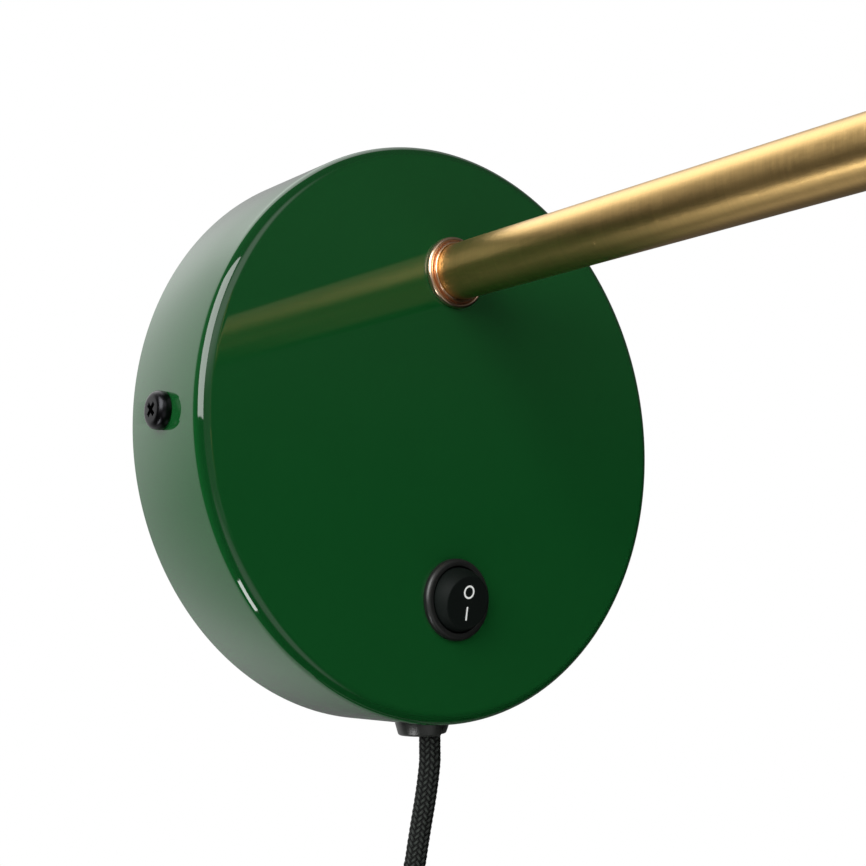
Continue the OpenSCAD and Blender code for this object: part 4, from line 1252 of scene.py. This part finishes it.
@dataclass
class Canopy:
    """The enamelled dish on the wall with its two side screws."""

    radius: float = 81 * MM
    depth: float = 35 * MM
    edge: float = 3.5 * MM
    wall: float = 1.2 * MM
    steps: int = 256
    edge_cuts: int = 12
    hole_steps: int = 96
    support: float = 0.5 * MM
    rim_soft: float = 0.25 * MM
    arm_z: float = 45 * MM
    arm_hole: float = 5.15 * MM
    switch_z: float = -47 * MM
    switch_hole: float = 10.1 * MM
    grip_out: float = 20.7 * MM
    grip_hole: float = 6.35 * MM
    screw_out: float = 16.3 * MM
    screw_hole: float = 2.65 * MM
    screw_seat: float = 0.1 * MM
    head_r: float = 5 * MM
    head_h: float = 3.2 * MM
    head_soft: float = 1.9 * MM
    head_edge: float = 0.2 * MM
    shank_r: float = 2.5 * MM
    shank_len: float = 12 * MM
    shank_soft: float = 0.5 * MM
    recess_w: float = 1.4 * MM
    recess_len: float = 5.8 * MM
    recess_depth: float = 1.9 * MM
    recess_taper: tuple[float, float] = (0.45, 0.8)

    def shell(self, palette: Palette) -> None:
        """Makes the dish with its five holes."""
        r, h, w, s = self.radius, self.depth, self.wall, self.support
        inner = self.edge - w
        corners = [
            Corner(r - w, 0, self.rim_soft, 3), Corner(r, 0, self.rim_soft, 3),
            Corner(r, h - self.edge - s), Corner(r, h, self.edge, self.edge_cuts),
            Corner(r - self.edge - s, h), Corner(0, h), Corner(0, h - w),
            Corner(r - w - inner - s, h - w), Corner(r - w, h - w, inner, 6),
            Corner(r - w, h - self.edge - s),
        ]
        dish = Shape.turned(corners, self.steps).placed(rotation(90, "X"))
        low, high = -2 * w, w
        cutters = [
            Shape.rod(self.arm_hole, low, high).placed(on_front(self.arm_z)),
            Shape.rod(self.switch_hole, low, high, self.hole_steps).placed(on_front(self.switch_z)),
            Shape.rod(self.grip_hole, -r - 2 * w, -r + 3 * w, self.hole_steps).placed(
                shift(0, -self.grip_out, 0)),
        ]
        for side in (-1, 1):
            cutters.append(Shape.rod(self.screw_hole, r - 2 * w, r + w).placed(
                shift(0, -self.screw_out, 0) @ rotation(side * 90, "Y")))
        dish.carved(cutters).piece("canopy_shell", [palette["green_enamel"]], slot="gloss_paint",
                                   replaces=("canopy",))

    def screws(self, palette: Palette) -> None:
        """Makes the two pan head screws with a cross recess."""
        pair = Shape()
        for side in (-1, 1):
            place = shift(side * (self.radius + self.screw_seat), -self.screw_out, 0)
            pair.joined(self.screw().placed(place @ rotation(side * 90, "Y")))
        pair.piece("canopy_screws", [palette["black_steel"]], slot="black_screw", replaces=("side_screws",))

    def screw(self) -> Shape:
        """Makes one screw, with its head above z = 0."""
        corners = [
            Corner(0, self.head_h), Corner(self.head_r, self.head_h, self.head_soft, 8),
            Corner(self.head_r, 0, self.head_edge, 2), Corner(self.shank_r, 0),
            Corner(self.shank_r, -self.shank_len, self.shank_soft, 2), Corner(0, -self.shank_len),
        ]
        cross = []
        for quarter in (45, 135):
            wing = Shape.block((self.recess_len, self.recess_w, 2 * self.recess_depth), (0, 0, self.head_h))
            for vert in wing.bm.verts:
                if vert.co.z < self.head_h:
                    vert.co.x *= self.recess_taper[0]
                    vert.co.y *= self.recess_taper[1]
            cross.append(wing.placed(rotation(quarter, "Z")))
        return Shape.turned(corners, 64).carved(cross)

    def build(self, palette: Palette) -> None:
        """Makes the canopy's pieces."""
        self.shell(palette)
        self.screws(palette)


@dataclass
class Arm:
    """The bent brass tube and the turned collar at its foot."""

    radius: float = 8 * MM
    bore: float = 6.8 * MM
    foot_out: float = 35 * MM
    foot_z: float = 45 * MM
    straight: float = 150 * MM
    rise_r: float = 60 * MM
    link: float = 25 * MM
    arch_r: float = 70 * MM
    drop: float = 14 * MM
    slope: float = math.degrees(math.atan2(4, 3))
    sides: int = 96
    bend_step: float = 2.5
    collar_r: float = 10.25 * MM
    collar_soft: float = 0.1 * MM
    groove_soft: float = 0.15 * MM
    bead_h: float = 1.6 * MM
    bead_w: float = 1.3 * MM
    lip_h: float = 2.4 * MM
    lip_w: float = 0.6 * MM
    floor_h: float = 0.7 * MM
    collar_gap: float = 0.05 * MM

    def path(self) -> tuple[list[Vector], list[float]]:
        """Gives the tube's middle line and its runs."""
        out, z, heading, run = self.foot_out, self.foot_z, 0.0, 0.0
        points, runs = [Vector((0, -out, z))], [0.0]

        def go(length: float, bend: float, steps: int) -> None:
            """Goes on by a length, turning evenly by the bend in degrees."""
            nonlocal out, z, heading, run
            for _ in range(steps):
                heading += math.radians(bend / steps / 2)
                half = math.radians(bend / steps / 2)
                chord = length / steps * (math.sin(half) / half if half else 1)
                out += chord * math.cos(heading)
                z += chord * math.sin(heading)
                heading += half
                run += length / steps
                points.append(Vector((0, -out, z)))
                runs.append(run)

        go(self.straight, 0, 10)
        go(math.radians(self.slope) * self.rise_r, self.slope, round(self.slope / self.bend_step))
        go(self.link, 0, 2)
        fall = -90 - self.slope
        go(math.radians(-fall) * self.arch_r, fall, round(-fall / self.bend_step))
        go(self.drop, 0, 1)
        return points, runs

    def tube(self, palette: Palette) -> None:
        """Makes the tube with its bore."""
        points, runs = self.path()
        stations = follow(points, runs, Vector((1, 0, 0)))
        outer = Shape.swept(self.radius, self.sides, stations)
        inner = Shape.swept(self.bore, self.sides, stations)
        outer.bored(inner).piece("arm", [palette["brushed_brass"]], slot="brushed_brass",
                                 replaces=("arm_tube",))

    def collar(self, palette: Palette) -> None:
        """Makes the collar: a thin floor, a round outer bead, a groove and a lip that hugs the arm."""
        bore = self.radius + self.collar_gap
        bead, lip = self.bead_w / 2, self.lip_w / 2
        corners = [
            Corner(bore, 0), Corner(self.collar_r, 0, self.collar_soft, 2),
            *arc(self.collar_r - bead, self.bead_h - bead, bead, 0, 180, 12),
            Corner(self.collar_r - self.bead_w, self.floor_h, self.groove_soft, 3),
            Corner(bore + self.lip_w, self.floor_h, self.groove_soft, 3),
            *arc(bore + lip, self.lip_h - lip, lip, 0, 180, 10),
        ]
        Shape.turned(corners, 128).placed(on_front(self.foot_z, self.foot_out)).piece(
            "collar", [palette["polished_copper"]], slot="collar_copper", replaces=("collar_ring",),
            sharp=50)

    def build(self, palette: Palette) -> None:
        """Makes the arm's pieces."""
        self.tube(palette)
        self.collar(palette)


@dataclass
class Switch:
    """The round rocker switch: its housing, its button and the two marks."""

    z: float = -47 * MM
    bezel_r: float = 11.25 * MM
    bezel_h: float = 2 * MM
    bezel_soft: float = 1.1 * MM
    bezel_edge: float = 0.15 * MM
    mouth_r: float = 9.15 * MM
    mouth_soft: float = 0.3 * MM
    body_r: float = 9.95 * MM
    body_low: float = -18 * MM
    body_soft: float = 0.4 * MM
    floor: float = -11 * MM
    ball_r: float = 8.9 * MM
    face: float = 5.1 * MM
    face_edge: float = 0.5 * MM
    skirt: float = 3 * MM
    shell: float = 1.2 * MM
    rim_soft: float = 0.16 * MM
    pivot_out: float = 0.4 * MM
    tilt: float = 10.5
    pin_r: float = 1 * MM
    pin_gap: float = 0.06 * MM
    pin_end: float = 9.84 * MM
    guide_r: float = 2.6 * MM
    guide_bore: float = 1.7 * MM
    guide_low: float = -5.4 * MM
    guide_top: float = 3 * MM
    guide_past: float = 1 * MM
    mark_up: float = 2.95 * MM
    mark_r: float = 1.85 * MM
    mark_w: float = 0.5 * MM
    mark_h: float = 0.03 * MM
    bar_h: float = 3.7 * MM
    tab_w: float = 4.9 * MM
    tab_t: float = 0.9 * MM
    tab_up: float = 6.5 * MM
    slot_len: float = 16 * MM
    slot_in: float = 3 * MM
    latch_out: float = 0.7 * MM
    latch_in: float = 0.6 * MM
    latch_len: float = 4 * MM
    latch_w: float = 6 * MM
    latch_z: float = -1.35 * MM

    def housing(self, palette: Palette) -> None:
        """Makes the housing with its bezel, mouth, pivot bores, terminal slots and latches."""
        corners = [
            Corner(0, self.body_low), Corner(self.body_r, self.body_low, self.body_soft, 3),
            Corner(self.body_r, 0), Corner(self.bezel_r, 0, self.bezel_edge, 2),
            Corner(self.bezel_r, self.bezel_h, self.bezel_soft, 8),
            Corner(self.mouth_r, self.bezel_h, self.mouth_soft, 4), Corner(self.mouth_r, self.floor),
            Corner(0, self.floor),
        ]
        slot = (self.tab_w, self.tab_t, self.slot_len)
        slots = [Shape.block(slot, (0, up, self.body_low + self.slot_in)) for up in (0, self.tab_up)]
        reach = self.pin_end + self.pin_gap
        bore = Shape.rod(self.pin_r + self.pin_gap, -reach, reach).placed(
            shift(0, 0, self.pivot_out) @ rotation(90, "Y"))
        body = Shape.turned(corners, 128).carved([*slots, bore]).carved(self.latches(), "UNION")
        body.placed(on_front(self.z)).piece("switch_case", [palette["bezel_plastic"]], slot="black_gloss",
                                            replaces=("switch_housing",))

    def latches(self) -> list[Shape]:
        """Makes the two snap latches at the sides of the housing."""
        made = []
        for side in (-1, 1):
            width = self.latch_out + self.latch_in
            middle = side * (self.body_r - self.latch_in + width / 2)
            wedge = Shape.block((width, self.latch_w, self.latch_len),
                                (middle, 0, self.latch_z - self.latch_len / 2))
            for vert in wedge.bm.verts:
                if vert.co.z < self.latch_z - TINY and abs(vert.co.x) > self.body_r:
                    vert.co.x = side * (self.body_r - self.latch_in / 2)
            made.append(wedge)
        return made

    def button(self, palette: Palette) -> None:
        """Makes the button: a slice of a ball with a flat face, a hollow, two pins and a plunger's tube."""
        tilt = on_front(self.z) @ shift(0, 0, self.pivot_out) @ rotation(self.tilt, "X")
        low, high = angle_at(-self.skirt, self.ball_r), angle_at(self.face, self.ball_r)
        inner_r = self.ball_r - self.shell
        inner_low, inner_high = angle_at(-self.skirt, inner_r), angle_at(self.face - self.shell, inner_r)
        face_r = self.ball_r * math.cos(math.radians(high))
        outer = arc(0, 0, self.ball_r, low, high, 20)
        outer[-1] = Corner(face_r, self.face, self.rim_soft, 3)
        hollow = arc(0, 0, inner_r, inner_low, inner_high, 12)
        corners = [*outer, Corner(face_r - self.face_edge, self.face), Corner(0, self.face),
                   Corner(0, self.face - self.shell), *reversed(hollow)]
        button = Shape.turned(corners, 128)
        pins = [Shape.rod(self.pin_r, inner_r, self.pin_end).placed(rotation(side * 90, "Y"))
                for side in (-1, 1)]
        guide = Shape.rod(self.guide_r, self.guide_low, self.face - self.shell / 2)
        bore = Shape.rod(self.guide_bore, self.guide_low - self.guide_past, self.guide_top)
        button.carved([*pins, guide], "UNION").carved([bore]).placed(tilt)
        button.piece("switch_button", [palette["button_plastic"]], body="rocker", slot="black_gloss",
                     replaces=("rocker_button",))
        self.marks().placed(tilt).piece("switch_marks", [palette["mark_paint"]], body="rocker")

    def marks(self) -> Shape:
        """Makes the ring and the bar that stand for off and on."""
        inner, outer = self.mark_r - self.mark_w, self.mark_r
        low, high = self.face, self.face + self.mark_h
        ring = [Corner(inner, low), Corner(outer, low), Corner(outer, high), Corner(inner, high)]
        off = Shape.turned(ring, 64).placed(shift(0, self.mark_up, 0))
        on = Shape.block((self.mark_w, self.bar_h, self.mark_h),
                         (0, -self.mark_up, self.face + self.mark_h / 2))
        return off.joined(on)

    def build(self, palette: Palette) -> None:
        """Makes the switch's pieces."""
        self.housing(palette)
        self.button(palette)


@dataclass
class Head:
    """The neck cap and the dome shade at the end of the arm."""

    place: Vector = field(default_factory=lambda: Vector((0, -374, 33)) * MM)
    neck_r: float = 22.5 * MM
    neck_h: float = 38 * MM
    neck_edge: float = 10 * MM
    neck_wall: float = 1 * MM
    neck_hole: float = 5.15 * MM
    lip_soft: tuple[float, float] = (0.15 * MM, 0.3 * MM)
    hole_soft: float = 0.2 * MM
    ball_r: float = 91 * MM
    shade_h: float = 78 * MM
    shade_wall: float = 1 * MM
    top_r: float = 27 * MM
    top_soft: float = 0.8 * MM
    hole_r: float = 20.05 * MM
    bead_r: float = 1.6 * MM
    bead_steps: int = 24
    steps: int = 192

    def neck(self, palette: Palette) -> None:
        """Makes the neck cap."""
        r, h, e, w = self.neck_r, self.neck_h, self.neck_edge, self.neck_wall
        corners = [
            Corner(r - w, 0, self.lip_soft[0], 2), Corner(r, 0, self.lip_soft[1], 3),
            *arc(r - e, h - e, e, 0, 90, 16),
            Corner(self.neck_hole, h, self.hole_soft, 2), Corner(self.neck_hole, h - w),
            *reversed(arc(r - e, h - e, e - w, 0, 90, 12)),
        ]
        place = Matrix.Translation(self.place - Vector((0, 0, h)))
        Shape.turned(corners, 128).placed(place).piece(
            "neck", [palette["turned_brass"]], slot="brushed_brass", replaces=("neck_cap",))

    def shade(self, palette: Palette) -> None:
        """Makes the dome, green outside and white inside, with a rolled rim."""
        top = -self.neck_h
        centre = top - math.sqrt(self.ball_r ** 2 - self.top_r ** 2)
        low = top - self.shade_h
        inner_r = self.ball_r - self.shade_wall
        first = angle_at(low - centre, self.ball_r)
        last = math.degrees(math.acos(self.top_r / self.ball_r))
        inner_first = angle_at(low - centre, inner_r)
        inner_last = angle_at(top - self.shade_wall - centre, inner_r)
        outer = arc(0, centre, self.ball_r, first, last, 40)
        outer[-1] = Corner(self.top_r, top, self.top_soft, 4)
        corners = [*outer, Corner(self.hole_r, top), Corner(self.hole_r, top - self.shade_wall),
                   *reversed(arc(0, centre, inner_r, inner_first, inner_last, 40))]
        rim_r = self.ball_r * math.cos(math.radians(first)) - self.shade_wall / 2
        step = 360 / self.bead_steps
        bead = Shape.turned(arc(rim_r, low, self.bead_r, 0, 360 - step, self.bead_steps - 1), self.steps)
        shade = Shape.turned(corners, self.steps).carved([bead], "UNION")
        shade.placed(Matrix.Translation(self.place))
        hub = self.place + Vector((0, 0, centre))
        limit = self.ball_r - self.shade_wall / 2
        for face in shade.bm.faces:
            out = face.calc_center_median() - hub
            face.material_index = int(out.length < limit and out.dot(face.normal) < 0)
        shade.piece("dome_shade", [palette["green_enamel"], palette["white_enamel"]], slot="gloss_paint",
                    replaces=("shade",))

    def build(self, palette: Palette) -> None:
        """Makes the head's pieces."""
        self.neck(palette)
        self.shade(palette)


class InnerWork:
    """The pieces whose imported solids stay, each with its finish."""

    FINISHES = {
        "zinc_plate": ("mounting_bracket", "arm_nipple", "arm_washer", "lock_washer", "arm_nut",
                       "terminal_screws", "block_screw", "head_nipple", "plug_pins", "bulb_cap"),
        "plain_brass": ("arm_bush", "contact_lever", "switch_terminals", "terminal_barrels", "head_bush",
                        "lampholder_contacts", "screw_shell"),
        "spring_steel": ("switch_spring",),
        "ivory_plastic": ("switch_plunger", "terminal_block", "lampholder_insert"),
        "holder_plastic": ("shade_ring", "lampholder_cap", "lampholder_skirt"),
        "plug_plastic": ("plug_body",),
        "white_sheath": ("lamp_cable",),
        "brown_wire": ("switched_core", "supply_cores", "lamp_cores", "head_cores"),
        "filament": ("bulb_filament",),
        "clear_glass": ("bulb_glass",),
    }

    def build(self, palette: Palette) -> None:
        """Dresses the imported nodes."""
        for finish, names in self.FINISHES.items():
            for name in names:
                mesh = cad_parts[name].data
                mesh.materials.clear()
                mesh.materials.append(palette[finish])


def main() -> None:
    """Builds the scene: the camera and cord first, then each part of the lamp."""
    logging.basicConfig(level=logging.INFO, format="%(name)s: %(message)s")
    palette = Palette()
    Studio().build()
    for part in (Cord(), Grip(), Canopy(), Arm(), Switch(), Head(), InnerWork()):
        part.build(palette)
        log.info("built %s", type(part).__name__)


if __name__ == "__main__":
    main()
